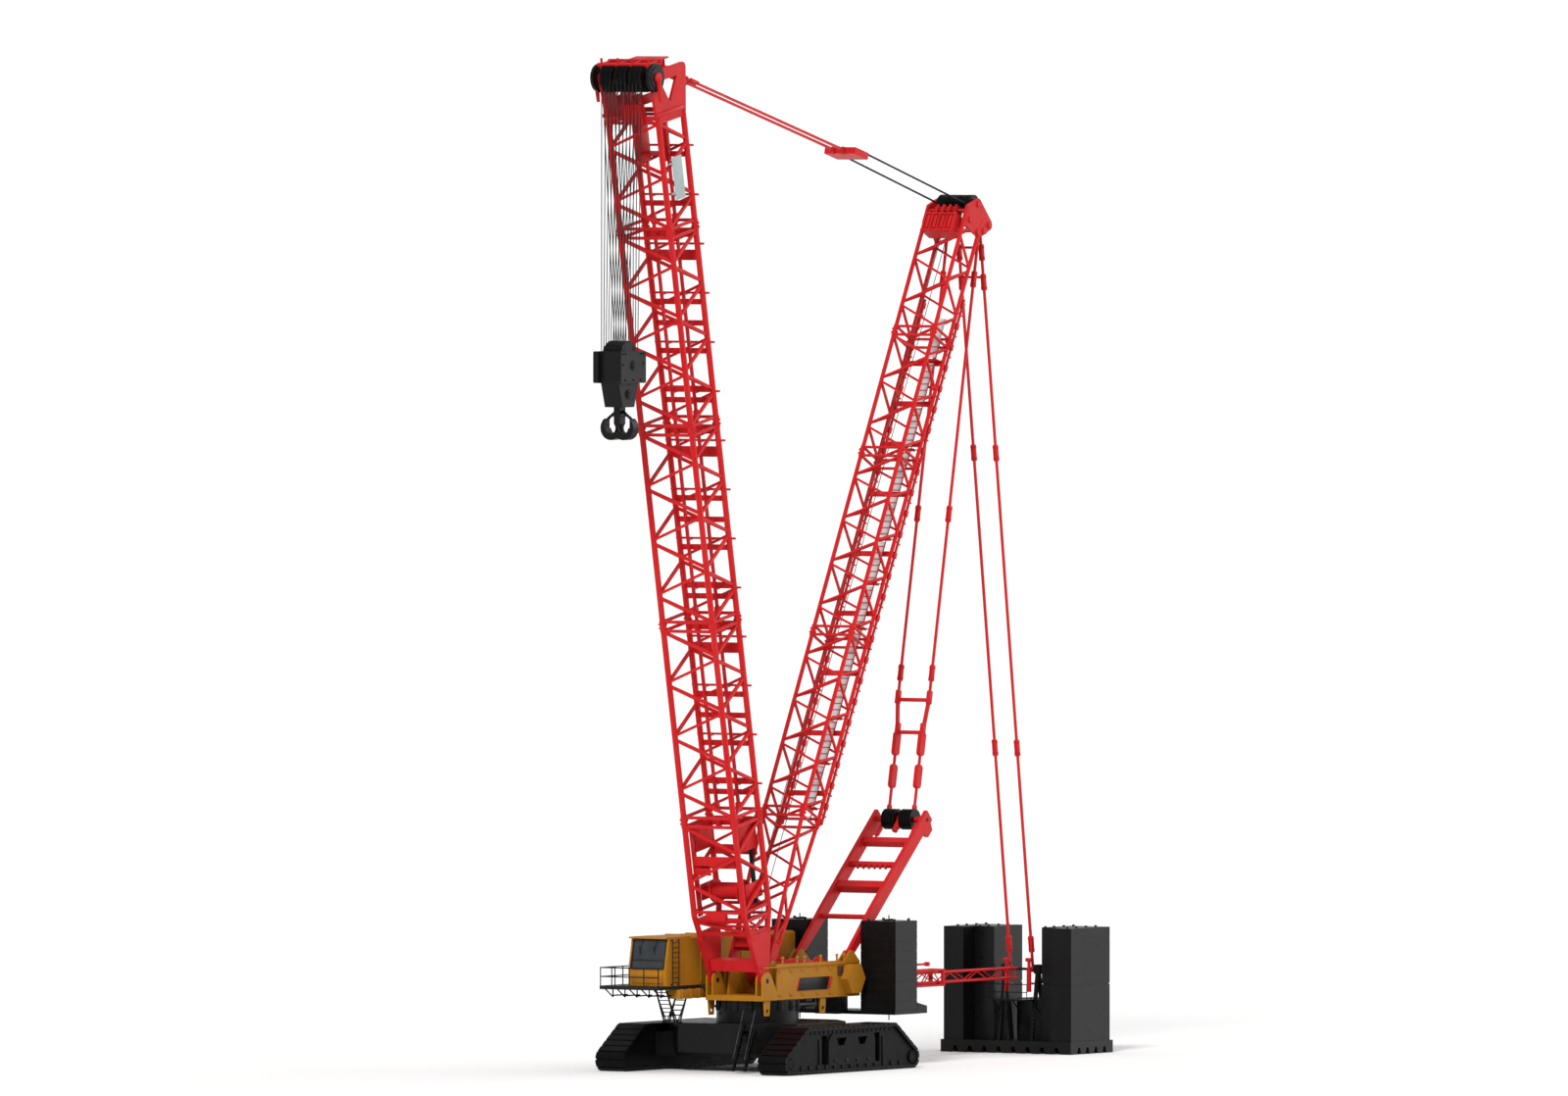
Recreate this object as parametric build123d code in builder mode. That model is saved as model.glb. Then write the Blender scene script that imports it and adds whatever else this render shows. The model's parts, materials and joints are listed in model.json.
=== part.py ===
from build123d import *
import os
from math import atan2, cos, degrees, radians, sin

# Crawler crane with a superlift mast, modelled at half the real machine's size, in millimetres.
# +X points forwards, +Y to the crane's left and +Z up.
# The origin lies on the ground, on the slewing axis.

# Clearances
SEAT_GAP = 0.3
SIDE_GAP = 12

# Crawler tracks
TRACK_LENGTH = 7400
TRACK_HEIGHT = 1400
TRACK_TOP_RUN = 4700
TRACK_GAUGE = 5800
NOSE_RADIUS = 340
TOP_RADIUS = 260
SHOE_WIDTH = 1000
SHOE_THICKNESS = 110
SHOE_COUNT = 58
SHOE_SLOT = 45
SHOE_SLOT_DEPTH = 60
CRAWLER_FRAME_WIDTH = 860
FRAME_SLOT_SPACING = 2900
FRAME_SLOT_WIDTH = 300
FRAME_SLOT_HEIGHT = 860
FRAME_NOTCH_SPACING = 1150
FRAME_NOTCH_WIDTH = 560
FRAME_NOTCH_HEIGHT = 230
FRAME_NOTCH_SLOPE = 60
FRAME_RECESS = 120
FRAME_PANEL_LENGTH = 2560
FRAME_PANEL_HEIGHT = 940
FRAME_PANEL_CORNER = 200
FRAME_PANEL_PROUD = 45
FRAME_DRUM = 190
FRAME_DRUM_PROUD = 50

# Car body and slewing ring
BODY_LENGTH = 4500
BODY_WIDTH = 4560
BODY_CORNER = 900
BODY_BOTTOM = 560
BODY_TOP = 1450
ARM_LENGTH = 900
ARM_SPACING = 2700
ARM_BOTTOM = 420
ARM_TOP = 1150
RING_RADIUS = 1240
RING_TOP = 1760
STAIR_WIDTH = 420
STAIR_RUN = 620
STAIR_FOOT = 60
STAIR_Y = 1200
STAIR_TREADS = 6
STAIR_BAR = 50

# Slewing platform
PLATFORM_BOTTOM = 2100
PLATFORM_FLOOR = 160
PLATFORM_TOP = 3180
PLATFORM_REAR = -4080
PLATFORM_NECK = 480
GIRDER_PLATE = 55
TURNTABLE_RADIUS = 1200
CROSS_BEAM = 260
JACK_LUG_DROP = 450
JACK_LUG_LENGTH = 420
JACK_LUG_SLOPE = 84
JACK_LUG_HOLE = 70
END_COVER_X = -3500
END_COVER_RADIUS = 500
END_COVER_PROUD = 260
HOIST_WINCH_X = -900
LUFFING_WINCH_X = -2300
WINCH_RADIUS = 290
WINCH_FLANGE = 50

# Boom
BOOM_FOOT_X = 1025
BOOM_FOOT_Z = 2700
BOOM_ANGLE = 78.9
BOOM_HALF_DEPTH = 687
BOOM_CHORD = 92
BOOM_BRACE = 60
BOOM_EYE = 130
BOOM_EYE_RADIUS = 175
BOOM_PIN = 80
BOOM_BUTT = 5000
BOOM_BUTT_PANELS = 3
BOOM_TAPER = 2100
BOOM_FOOT_REACH = 1400
BOOM_FOOT_HALF = 460
BOOM_FOOT_BEAM = 350
BOOM_FOOT_BEAM_START = 310
BOOM_INSERT = 6000
BOOM_HEAD = 3500
BOOM_HEAD_PANELS = 4
BOOM_PANELS = 7

# Superlift mast
MAST_FOOT_X = 400
MAST_FOOT_Z = 3120
MAST_ANGLE = 63.1
MAST_HALF_WIDTH = 700
MAST_HALF_DEPTH = 450
MAST_CHORD = 64
MAST_BRACE = 46
MAST_EYE = 90
MAST_EYE_RADIUS = 140
MAST_PIN = 60
MAST_BUTT = 4950
MAST_BUTT_PANELS = 5
MAST_FOOT_REACH = 700
MAST_INSERT = 6000
MAST_SHORT_INSERT = 4075
MAST_HEAD = 4200
MAST_PANELS = 8
MAST_SHORT_PANELS = 5
MAST_BOX = 500
MAST_BOX_WIDTH = 1100
MAST_BOX_HEIGHT = 620
MAST_BOX_DROP = 660

# Lattice detail
BRACE_GAP = 60
END_FRAME = 110
COLLAR_LENGTH = 170
COLLAR_EXTRA = 14
REAR_PLATE_HEIGHT = 170
REAR_PLATE = 24
REAR_PLATE_COUNT = 3

# Boom head, hoist ropes, hook block
HEAD_PLATE = 90
HEAD_RISE = 1250
HEAD_SHEAVE_AHEAD = 760
HEAD_STAY_BEHIND = 850
ROLLER_BEHIND = 520
ROLLER_DEPTH = 360
ROLLER_BEAM = 100
ROLLER_HEIGHT = 240
ROLLER_RADIUS = 70
ROLLER_COUNT = 5
ROLLER_ROW = 1160
ROLLER_PLATE = 40
SHEAVE_RADIUS = 410
SHEAVE_AXLE = 85
SHEAVE_GROUP = 420
SHEAVE_GROUP_PITCH = 520
SHEAVE_FLANGE = 60
SHEAVE_GROOVE = 70
ROUND_SIDES = 24
ROPE_RADIUS = 13
FALLS = 12
FALLS_LENGTH = 7850
BLOCK_WIDTH = 1000
BLOCK_DEPTH = 1350
BLOCK_HEIGHT = 1950
BLOCK_CHEEK = 180
BLOCK_CHEEK_DROP = 280
BLOCK_CHEEK_HEIGHT = 950
BLOCK_CORNER = 60
BLOCK_BODY = 1050
BLOCK_FOOT = 620
BLOCK_SHEAVE = 470
HOOK_SHANK = 110
HOOK_DROP = 620
HOOK_THROAT = 170
HOOK_THICKNESS = 300
HOOK_ARM = 190
HOOK_BORE = 40

# Stays
STAY_BAR = 34
STAY_EYE = 95
STAY_PIN = 42
BOOM_STAY_HALF = 170
BOOM_STAY_LENGTH = 10300
STAY_BLOCK_LENGTH = 760
STAY_BLOCK_HALF = 480
LUFF_ROPE = 22
MAST_TIP_SHEAVE = 300
MAST_STAY_HALF = 560
MAST_STAY_BEHIND = 650
MAST_STAY_FOOT_HALF = 450
SPREADER_UPPER = 3300
SPREADER_LOWER = 2300
EQUALIZERS = (1950, 950)
EQUALIZER_LENGTH = 720
EQUALIZER_WIDTH = 270
EQUALIZER_CORNER = 70
EQUALIZER_THICKNESS = 130
SUPERLIFT_STAY_HALF = 400
SUPERLIFT_STAY_BEHIND = 820

# A-frame
AFRAME_FOOT_X = -3640
AFRAME_FOOT_Z = 3330
AFRAME_LENGTH = 5850
AFRAME_ANGLE = 42.6
AFRAME_LEG_DEPTH = 400
AFRAME_LEG = 130
AFRAME_PIN = 60
AFRAME_SHEAVE = 260
AFRAME_SHEAVE_Y = 310
AFRAME_SHEAVE_WIDTH = 420
AFRAME_TAPER = 0.35
AFRAME_LOBE = 230
AFRAME_LOBE_LENGTH = 320
AFRAME_BEAMS = ((0.28, 80, 8), (0.5, 190, 4), (0.83, 150, 4))

# Machinery house, cab and walkways
HOUSE_REAR = -4000
HOUSE_FRONT = 1800
HOUSE_INNER = -1250
HOUSE_WIDTH = 1350
HOUSE_BOTTOM = 2560
HOUSE_HEIGHT = 1470
HOUSE_CHAMFER = 60
CAB_LENGTH = 1300
CAB_WALL = 45
CAB_RAKE = 180
GLASS_THICKNESS = 16
PILLAR = 90
SEAT_AHEAD = 546
SEAT_POST = 160
SEAT_POST_HEIGHT = 220
SEAT_WIDTH = 300
SEAT_CUSHION = 80
SEAT_BACK = 70
SEAT_BACK_HEIGHT = 330
WINDOW_SILL = 520
DOOR_LENGTH = 620
DOOR_REAR = 130
DOOR_GAP = 6
DOOR_HINGE = 90
DOOR_KNUCKLE = 12
DECK_THICKNESS = 110
WALKWAY_WIDTH = 760
WALKWAY_FRONT = 420
RAIL_HEIGHT = 540
RAIL = 20
RAIL_POSTS = 4

# Central ballast
BALLAST_FRONT = -4200
BALLAST_LENGTH = 1200
BALLAST_INNER = 975
BALLAST_WIDTH = 1250
BALLAST_BASE = 1650
BALLAST_SLABS = 9
BALLAST_SLAB = 300
BALLAST_JOINT = 14
BALLAST_TRAY = 110
BALLAST_MARGIN = 60
BALLAST_BRACKET = 560
BALLAST_BEAM = 420

# Superlift ballast
TRAY_X = -15050
TRAY_LENGTH = 2400
TRAY_WIDTH = 4700
TRAY_THICKNESS = 380
TRAY_GAP = 230
TRAY_GAP_HEIGHT = 200
TRAY_GAP_SLOPE = 72
TRAY_FEET_ACROSS = 9
TRAY_FEET_ALONG = 5
STACK_INNER = 860
STACK_STEP = 600
STACK_WIDTH = 1440
STACK_LENGTH = 2200
STACK_HEIGHT = 3450
STACK_GROOVE = 24
MIDDLE_WIDTH = 1000
MIDDLE_HEIGHT = 1250
MIDDLE_LENGTH = 900
TRESTLE_HEIGHT = 2300
TRESTLE_SPREAD = 820
TRESTLE_BAR = 70

# Telescopic strut
STRUT_Z = 2440
STRUT_PIVOT_X = -4330
STRUT_OUTER = 5700
STRUT_OUTER_HALF = 230
STRUT_INNER_HALF = 150
STRUT_CHORD = 34
STRUT_BRACE = 20
STRUT_OVERLAP = 2900
STRUT_PANELS = 9
STRUT_EYE = 110
STRUT_PIN = 50
STRUT_GUIDE = 120

os.makedirs("parts", exist_ok=True)

# Places worked out from the sizes above
track_y = TRACK_GAUGE / 2
inner_plate_y = MAST_HALF_WIDTH + MAST_EYE / 2 + SIDE_GAP + GIRDER_PLATE / 2
boom_y = inner_plate_y + GIRDER_PLATE / 2 + SIDE_GAP + BOOM_EYE / 2
outer_plate_y = boom_y + BOOM_EYE / 2 + SIDE_GAP + GIRDER_PLATE / 2
cheek_y = MAST_HALF_WIDTH - MAST_EYE / 2 - SIDE_GAP - GIRDER_PLATE / 2
girder_face = outer_plate_y + GIRDER_PLATE / 2
platform_front = BOOM_FOOT_X + BOOM_EYE_RADIUS + CROSS_BEAM / 3
boom_length = BOOM_BUTT + 3 * BOOM_INSERT + BOOM_HEAD
mast_length = MAST_BUTT + 2 * MAST_INSERT + MAST_SHORT_INSERT + MAST_HEAD

boom_frame = Plane(
    origin=(BOOM_FOOT_X, 0, BOOM_FOOT_Z),
    x_dir=(sin(radians(BOOM_ANGLE)), 0, -cos(radians(BOOM_ANGLE))),
    z_dir=(cos(radians(BOOM_ANGLE)), 0, sin(radians(BOOM_ANGLE))),
)
mast_frame = Plane(
    origin=(MAST_FOOT_X, 0, MAST_FOOT_Z),
    x_dir=(sin(radians(MAST_ANGLE)), 0, cos(radians(MAST_ANGLE))),
    z_dir=(-cos(radians(MAST_ANGLE)), 0, sin(radians(MAST_ANGLE))),
)
aframe_frame = Plane(
    origin=(AFRAME_FOOT_X, 0, AFRAME_FOOT_Z),
    x_dir=(sin(radians(AFRAME_ANGLE)), 0, cos(radians(AFRAME_ANGLE))),
    z_dir=(-cos(radians(AFRAME_ANGLE)), 0, sin(radians(AFRAME_ANGLE))),
)

sheave_along = boom_length + HEAD_RISE
sheave_axis = boom_frame.from_local_coords((HEAD_SHEAVE_AHEAD, 0, sheave_along))
boom_stay_pin = boom_frame.from_local_coords((-HEAD_STAY_BEHIND, 0, sheave_along))
mast_tip = mast_frame.from_local_coords((0, 0, mast_length + MAST_TIP_SHEAVE))
mast_stay_pin = mast_frame.from_local_coords((-MAST_STAY_BEHIND, 0, mast_length - MAST_TIP_SHEAVE))
superlift_pin = mast_frame.from_local_coords((-SUPERLIFT_STAY_BEHIND, 0, mast_length))
aframe_head = aframe_frame.from_local_coords((0, 0, AFRAME_LENGTH))


def save(builder, name):
    """Label a finished piece and write it to a STEP file of its own."""
    builder.part.label = name
    export_step(builder.part, f"parts/{name}.step")


def prism(start, end, radius, sides, chord_dir=None):
    """Straight bar between two points; chord_dir turns one of its flats to face along the chord."""
    start, end = Vector(start), Vector(end)
    axis = end - start
    flat = axis.cross(Vector(chord_dir)) if chord_dir is not None else None
    plane = Plane(origin=start, x_dir=flat, z_dir=axis) if flat else Plane(origin=start, z_dir=axis)
    with BuildPart() as rod:
        with BuildSketch(plane):
            RegularPolygon(radius, sides, rotation=180 / sides)
        extrude(amount=axis.length)
    return rod.part


def chord(start, end, radius):
    """Eight-sided chord tube whose ends lie in the section's two end planes."""
    start, end = Vector(start), Vector(end)
    axis = end - start
    with BuildPart() as tube:
        with BuildSketch(Plane(origin=start, x_dir=(1, 0, 0), z_dir=(0, 0, 1))):
            RegularPolygon(radius, 8, rotation=22.5)
        extrude(amount=axis.length, dir=axis)
    return tube.part


def lattice(length, base, top, chord_radius, brace_radius, panels, end_frame):
    """Bars of one lattice section along +Z; base and top give half the depth and half the width."""
    signs = [(1, 1), (1, -1), (-1, -1), (-1, 1)]

    def node(corner, height):
        share = height / length
        depth = base[0] + (top[0] - base[0]) * share
        width = base[1] + (top[1] - base[1]) * share
        return Vector(signs[corner][0] * depth, signs[corner][1] * width, height)

    def brace(first, low, second, high):
        start, end = node(first, low), node(second, high)
        step = (end - start).normalized() * (chord_radius / 2)
        return prism(start + step, end - step, brace_radius, 4, node(first, length) - node(first, 0))

    bars = [chord(node(k, 0), node(k, length), chord_radius) for k in range(4)]
    rise = (length - 2 * end_frame) / panels
    for k in range(4):
        pair = (k, (k + 1) % 4)
        for panel in range(panels):
            low = end_frame + panel * rise + BRACE_GAP
            first = pair[(panel + k) % 2]
            second = pair[(panel + k + 1) % 2]
            bars.append(brace(first, low, second, low + rise - 2 * BRACE_GAP))
        for height in (end_frame / 2 + COLLAR_LENGTH / 2, length - end_frame / 2 - COLLAR_LENGTH / 2):
            bars.append(brace(pair[0], height, pair[1], height))
    return bars


def rear_plates(length, half_depth, half_width):
    """Flat cross plates between the two rear chords of a section."""
    pieces = []
    for k in range(REAR_PLATE_COUNT):
        height = length * (k + 0.5) / REAR_PLATE_COUNT
        with BuildPart() as plate:
            with BuildSketch(Plane.XY.offset(height - REAR_PLATE_HEIGHT / 2)):
                with Locations((-half_depth, 0)):
                    Rectangle(REAR_PLATE, 2 * half_width)
            extrude(amount=REAR_PLATE_HEIGHT)
        pieces.append(plate.part)
    return pieces


def collars(length, half_depth, half_width, radius, ends):
    """Thicker pin ends of the four chords at the named ends of a section."""
    heights = {"base": 0, "top": length - COLLAR_LENGTH}
    places = [
        (x * half_depth, y * half_width, heights[end]) for end in ends for x in (1, -1) for y in (1, -1)
    ]
    pieces = []
    for x, y, z in places:
        pieces.append(chord((x, y, z), (x, y, z + COLLAR_LENGTH), radius + COLLAR_EXTRA))
    return pieces


def eye(radius, thickness, pin, y, reach, tip):
    """Foot eye in the local XZ plane at side y, widening to tip at the height reach."""
    with BuildPart() as plate:
        with BuildSketch(Plane.XZ.offset(-y)):
            Circle(radius)
            with Locations((0, reach)):
                Rectangle(2 * tip, radius)
            make_hull()
            Circle(pin + SEAT_GAP, mode=Mode.SUBTRACT)
        extrude(amount=thickness / 2, both=True)
    return plate.part


def placed(shapes, frame, along=0):
    """Shapes drawn along local +Z, set into the frame at a distance along it."""
    return [shape.moved(frame.location * Location((0, 0, along))) for shape in shapes]


def round_bar(start, end, radius):
    """Round pin or shaft between two points."""
    start, end = Vector(start), Vector(end)
    with BuildPart() as rod:
        with BuildSketch(Plane(origin=start, z_dir=end - start)):
            Circle(radius)
        extrude(amount=(end - start).length)
    return rod.part


def sheave(x, z, low, high, radius, bore):
    """Drum or sheave with its axis along Y, bored to run on a shaft."""
    with BuildPart() as wheel:
        with BuildSketch(Plane(origin=(x, low, z), z_dir=(0, 1, 0))):
            RegularPolygon(radius, ROUND_SIDES, rotation=180 / ROUND_SIDES)
            RegularPolygon(bore + SEAT_GAP, ROUND_SIDES, rotation=180 / ROUND_SIDES, mode=Mode.SUBTRACT)
        extrude(amount=high - low)
    return wheel.part


def link(start, end, half, length_of_eye=STAY_EYE):
    """One strand of a stay: a bar with an eye plate at each end, at side half."""
    start, end = Vector(start), Vector(end)
    run = end - start
    lean = degrees(atan2(run.Z, run.X))
    with BuildPart() as strand:
        with BuildSketch(Plane.XZ.offset(-half)):
            with Locations((start.X, start.Z), (end.X, end.Z)):
                Circle(length_of_eye)
            with Locations(((start.X + end.X) / 2, (start.Z + end.Z) / 2)):
                Rectangle(run.length, 2 * STAY_BAR, rotation=lean)
            with Locations((start.X, start.Z)):
                Circle(STAY_PIN + SEAT_GAP, mode=Mode.SUBTRACT)
        extrude(amount=STAY_BAR, both=True)
    return strand.part


# Crawler tracks: a closed belt of shoes round each crawler frame
def belt_outline(inset):
    """Closed outline of the belt, drawn inset from the outside of the shoes."""
    nose_x = TRACK_LENGTH / 2 - NOSE_RADIUS
    top_z = TRACK_HEIGHT - TOP_RADIUS
    with Locations((-nose_x, NOSE_RADIUS), (nose_x, NOSE_RADIUS)):
        Circle(NOSE_RADIUS - inset)
    with Locations((-TRACK_TOP_RUN / 2, top_z), (TRACK_TOP_RUN / 2, top_z)):
        Circle(TOP_RADIUS - inset)
    make_hull()


for side, sign in (("left", 1), ("right", -1)):
    with BuildPart() as track:
        with BuildSketch(Plane.XZ.offset(-sign * track_y)) as shoes:
            belt_outline(0)
            path = shoes.wire()
            offset(amount=-SHOE_THICKNESS, mode=Mode.SUBTRACT)
            for k in range(SHOE_COUNT):
                spot = path @ (k / SHOE_COUNT)
                lean = path % (k / SHOE_COUNT)
                with Locations((spot.X, spot.Y)):
                    Rectangle(
                        SHOE_SLOT,
                        2 * SHOE_SLOT_DEPTH,
                        rotation=degrees(atan2(lean.Y, lean.X)),
                        mode=Mode.SUBTRACT,
                    )
        extrude(amount=SHOE_WIDTH / 2, both=True)
    save(track, f"{side}_track")

    with BuildPart() as crawler_frame:
        with BuildSketch(Plane.XZ.offset(-sign * track_y)):
            belt_outline(SHOE_THICKNESS + SEAT_GAP)
        extrude(amount=CRAWLER_FRAME_WIDTH / 2, both=True)
        outer_face = track_y + CRAWLER_FRAME_WIDTH / 2
        with BuildSketch(Plane.XZ.offset(-sign * outer_face)) as panel:
            with Locations((0, TRACK_HEIGHT / 2)):
                Rectangle(FRAME_PANEL_LENGTH, FRAME_PANEL_HEIGHT)
            chamfer(panel.vertices().sort_by(Axis.Y)[-2:], FRAME_PANEL_CORNER)
        extrude(amount=-sign * FRAME_PANEL_PROUD)
        panel_face = outer_face + FRAME_PANEL_PROUD
        with BuildSketch(Plane.XZ.offset(-sign * panel_face)):
            with Locations((0, TRACK_HEIGHT / 2)):
                with GridLocations(FRAME_SLOT_SPACING, 0, 2, 1):
                    Rectangle(FRAME_SLOT_WIDTH, FRAME_SLOT_HEIGHT)
            with Locations((0, TRACK_HEIGHT / 2 + FRAME_NOTCH_HEIGHT)):
                with GridLocations(FRAME_NOTCH_SPACING, 0, 2, 1):
                    Trapezoid(FRAME_NOTCH_WIDTH, FRAME_NOTCH_HEIGHT, FRAME_NOTCH_SLOPE, rotation=180)
        extrude(amount=sign * (FRAME_RECESS + FRAME_PANEL_PROUD), mode=Mode.SUBTRACT)
        with BuildSketch(Plane.XZ.offset(-sign * outer_face)):
            with Locations((0, NOSE_RADIUS)):
                with GridLocations(TRACK_LENGTH - 2 * NOSE_RADIUS, 0, 2, 1):
                    Circle(FRAME_DRUM)
        extrude(amount=-sign * FRAME_DRUM_PROUD)
    save(crawler_frame, f"{side}_crawler_frame")

# Car body with its four arms and the fixed half of the slewing ring
frame_inner = track_y - CRAWLER_FRAME_WIDTH / 2
with BuildPart() as car_body:
    with BuildSketch(Plane.XY.offset(BODY_BOTTOM)) as deck:
        Rectangle(BODY_LENGTH, BODY_WIDTH)
        chamfer(deck.vertices(), BODY_CORNER)
    extrude(amount=BODY_TOP - BODY_BOTTOM)
    with BuildSketch(Plane.XY.offset(ARM_BOTTOM)):
        with GridLocations(ARM_SPACING, 0, 2, 1):
            Rectangle(ARM_LENGTH, 2 * frame_inner)
    extrude(amount=ARM_TOP - ARM_BOTTOM)
    with BuildSketch(Plane.XY.offset(BODY_TOP)):
        Circle(RING_RADIUS)
    extrude(amount=RING_TOP - BODY_TOP)
save(car_body, "car_body")

# Boarding stair on the front of the car body
stair_top = BODY_TOP
with BuildPart() as access_stair:
    for y in (STAIR_Y - STAIR_WIDTH / 2, STAIR_Y + STAIR_WIDTH / 2):
        with BuildSketch(Plane.XZ.offset(-y)):
            with BuildLine():
                Polyline(
                    (BODY_LENGTH / 2, stair_top),
                    (BODY_LENGTH / 2 + STAIR_BAR, stair_top),
                    (BODY_LENGTH / 2 + STAIR_RUN + STAIR_BAR, STAIR_FOOT),
                    (BODY_LENGTH / 2 + STAIR_RUN - STAIR_BAR, STAIR_FOOT),
                    (BODY_LENGTH / 2, stair_top - 4 * STAIR_BAR),
                    close=True,
                )
            make_face()
        extrude(amount=STAIR_BAR / 2, both=True)
    for k in range(STAIR_TREADS):
        share = (k + 0.5) / STAIR_TREADS
        tread_x = BODY_LENGTH / 2 + STAIR_BAR + share * (STAIR_RUN - STAIR_BAR)
        tread_z = stair_top - STAIR_BAR - share * (stair_top - STAIR_FOOT - STAIR_BAR)
        with Locations((tread_x, STAIR_Y, tread_z)):
            Box(3 * STAIR_BAR, STAIR_WIDTH, STAIR_BAR / 2)
save(access_stair, "access_stair")

# Turntable on the slewing ring
with BuildPart() as turntable:
    with BuildSketch(Plane.XY.offset(RING_TOP + SEAT_GAP)):
        Circle(TURNTABLE_RADIUS)
    extrude(amount=PLATFORM_BOTTOM - RING_TOP - SEAT_GAP)
save(turntable, "turntable")

# Slewing platform: floor, two box girders and the lugs for boom, mast and A-frame
with BuildPart() as slew_platform:
    with BuildSketch(Plane.XY.offset(PLATFORM_BOTTOM)):
        with Locations(((platform_front + PLATFORM_REAR) / 2, 0)):
            Rectangle(platform_front - PLATFORM_REAR, 2 * girder_face)
    extrude(amount=PLATFORM_FLOOR)
    web_height = PLATFORM_TOP - PLATFORM_BOTTOM
    for sign in (1, -1):
        for y in (sign * inner_plate_y, sign * outer_plate_y):
            with BuildSketch(Plane.XZ.offset(-y)):
                with Locations(((PLATFORM_NECK + PLATFORM_REAR) / 2, PLATFORM_BOTTOM + web_height / 2)):
                    Rectangle(PLATFORM_NECK - PLATFORM_REAR, web_height)
            extrude(amount=GIRDER_PLATE / 2, both=True)
            with BuildSketch(Plane.XZ.offset(-y)):
                with Locations((BOOM_FOOT_X, BOOM_FOOT_Z)):
                    Circle(BOOM_EYE_RADIUS + CROSS_BEAM / 3)
                with Locations(((PLATFORM_NECK + platform_front) / 2, PLATFORM_BOTTOM + PLATFORM_FLOOR)):
                    Rectangle(platform_front - PLATFORM_NECK, PLATFORM_FLOOR)
                make_hull()
                with Locations((BOOM_FOOT_X, BOOM_FOOT_Z)):
                    Circle(BOOM_PIN + SEAT_GAP, mode=Mode.SUBTRACT)
            extrude(amount=GIRDER_PLATE / 2, both=True)
            with BuildSketch(Plane.XZ.offset(-y)):
                with Locations((AFRAME_FOOT_X, AFRAME_FOOT_Z)):
                    Circle(2.5 * AFRAME_PIN)
                with Locations((AFRAME_FOOT_X, PLATFORM_TOP - AFRAME_LEG_DEPTH / 2)):
                    Rectangle(AFRAME_LEG_DEPTH * 2, AFRAME_LEG_DEPTH)
                make_hull()
            extrude(amount=GIRDER_PLATE / 2, both=True)
        for y in (sign * inner_plate_y, sign * cheek_y):
            with BuildSketch(Plane.XZ.offset(-y)):
                with Locations((MAST_FOOT_X, MAST_FOOT_Z)):
                    Circle(MAST_EYE_RADIUS + MAST_PIN / 2)
                with Locations((MAST_FOOT_X - MAST_EYE_RADIUS, PLATFORM_BOTTOM + PLATFORM_FLOOR)):
                    Rectangle(6 * MAST_EYE_RADIUS, PLATFORM_FLOOR)
                make_hull()
            extrude(amount=GIRDER_PLATE / 2, both=True)
        add(
            round_bar(
                (MAST_FOOT_X, sign * cheek_y, MAST_FOOT_Z),
                (MAST_FOOT_X, sign * inner_plate_y, MAST_FOOT_Z),
                MAST_PIN,
            )
        )
        add(
            round_bar(
                (AFRAME_FOOT_X, sign * inner_plate_y, AFRAME_FOOT_Z),
                (AFRAME_FOOT_X, sign * outer_plate_y, AFRAME_FOOT_Z),
                AFRAME_PIN,
            )
        )
        with BuildSketch(Plane.XZ.offset(-sign * outer_plate_y)):
            with Locations((BOOM_FOOT_X, PLATFORM_BOTTOM), (PLATFORM_REAR / 2, PLATFORM_BOTTOM)):
                Trapezoid(JACK_LUG_LENGTH, 2 * JACK_LUG_DROP, JACK_LUG_SLOPE, rotation=180)
            lug_hole_z = PLATFORM_BOTTOM - JACK_LUG_DROP + 2 * JACK_LUG_HOLE
            with Locations((BOOM_FOOT_X, lug_hole_z), (PLATFORM_REAR / 2, lug_hole_z)):
                Circle(JACK_LUG_HOLE, mode=Mode.SUBTRACT)
        extrude(amount=GIRDER_PLATE / 2, both=True)
    with BuildSketch(Plane.XY.offset(PLATFORM_BOTTOM)):
        with Locations((PLATFORM_REAR + CROSS_BEAM / 2, 0), ((HOIST_WINCH_X + LUFFING_WINCH_X) / 2, 0)):
            Rectangle(CROSS_BEAM, 2 * inner_plate_y)
    extrude(amount=web_height - CROSS_BEAM)
    for sign in (1, -1):
        add(
            round_bar(
                (STRUT_PIVOT_X, sign * (STRUT_OUTER_HALF + 2 * STRUT_CHORD), STRUT_Z),
                (STRUT_PIVOT_X, sign * (STRUT_OUTER_HALF - STRUT_CHORD), STRUT_Z),
                STRUT_PIN,
            )
        )
        with BuildSketch(Plane.XZ.offset(-sign * (STRUT_OUTER_HALF + 2 * STRUT_CHORD))):
            with Locations((STRUT_PIVOT_X, STRUT_Z)):
                Circle(STRUT_EYE)
            with Locations((PLATFORM_REAR + STRUT_EYE / 2, STRUT_Z)):
                Rectangle(STRUT_EYE, 3 * STRUT_EYE)
            make_hull()
        extrude(amount=STRUT_CHORD / 2, both=True)
    with BuildSketch(Plane.XZ.offset(-girder_face)):
        with Locations((END_COVER_X, PLATFORM_BOTTOM + web_height / 2)):
            RegularPolygon(END_COVER_RADIUS, 6)
    extrude(amount=-END_COVER_PROUD)
save(slew_platform, "slew_platform")

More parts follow.
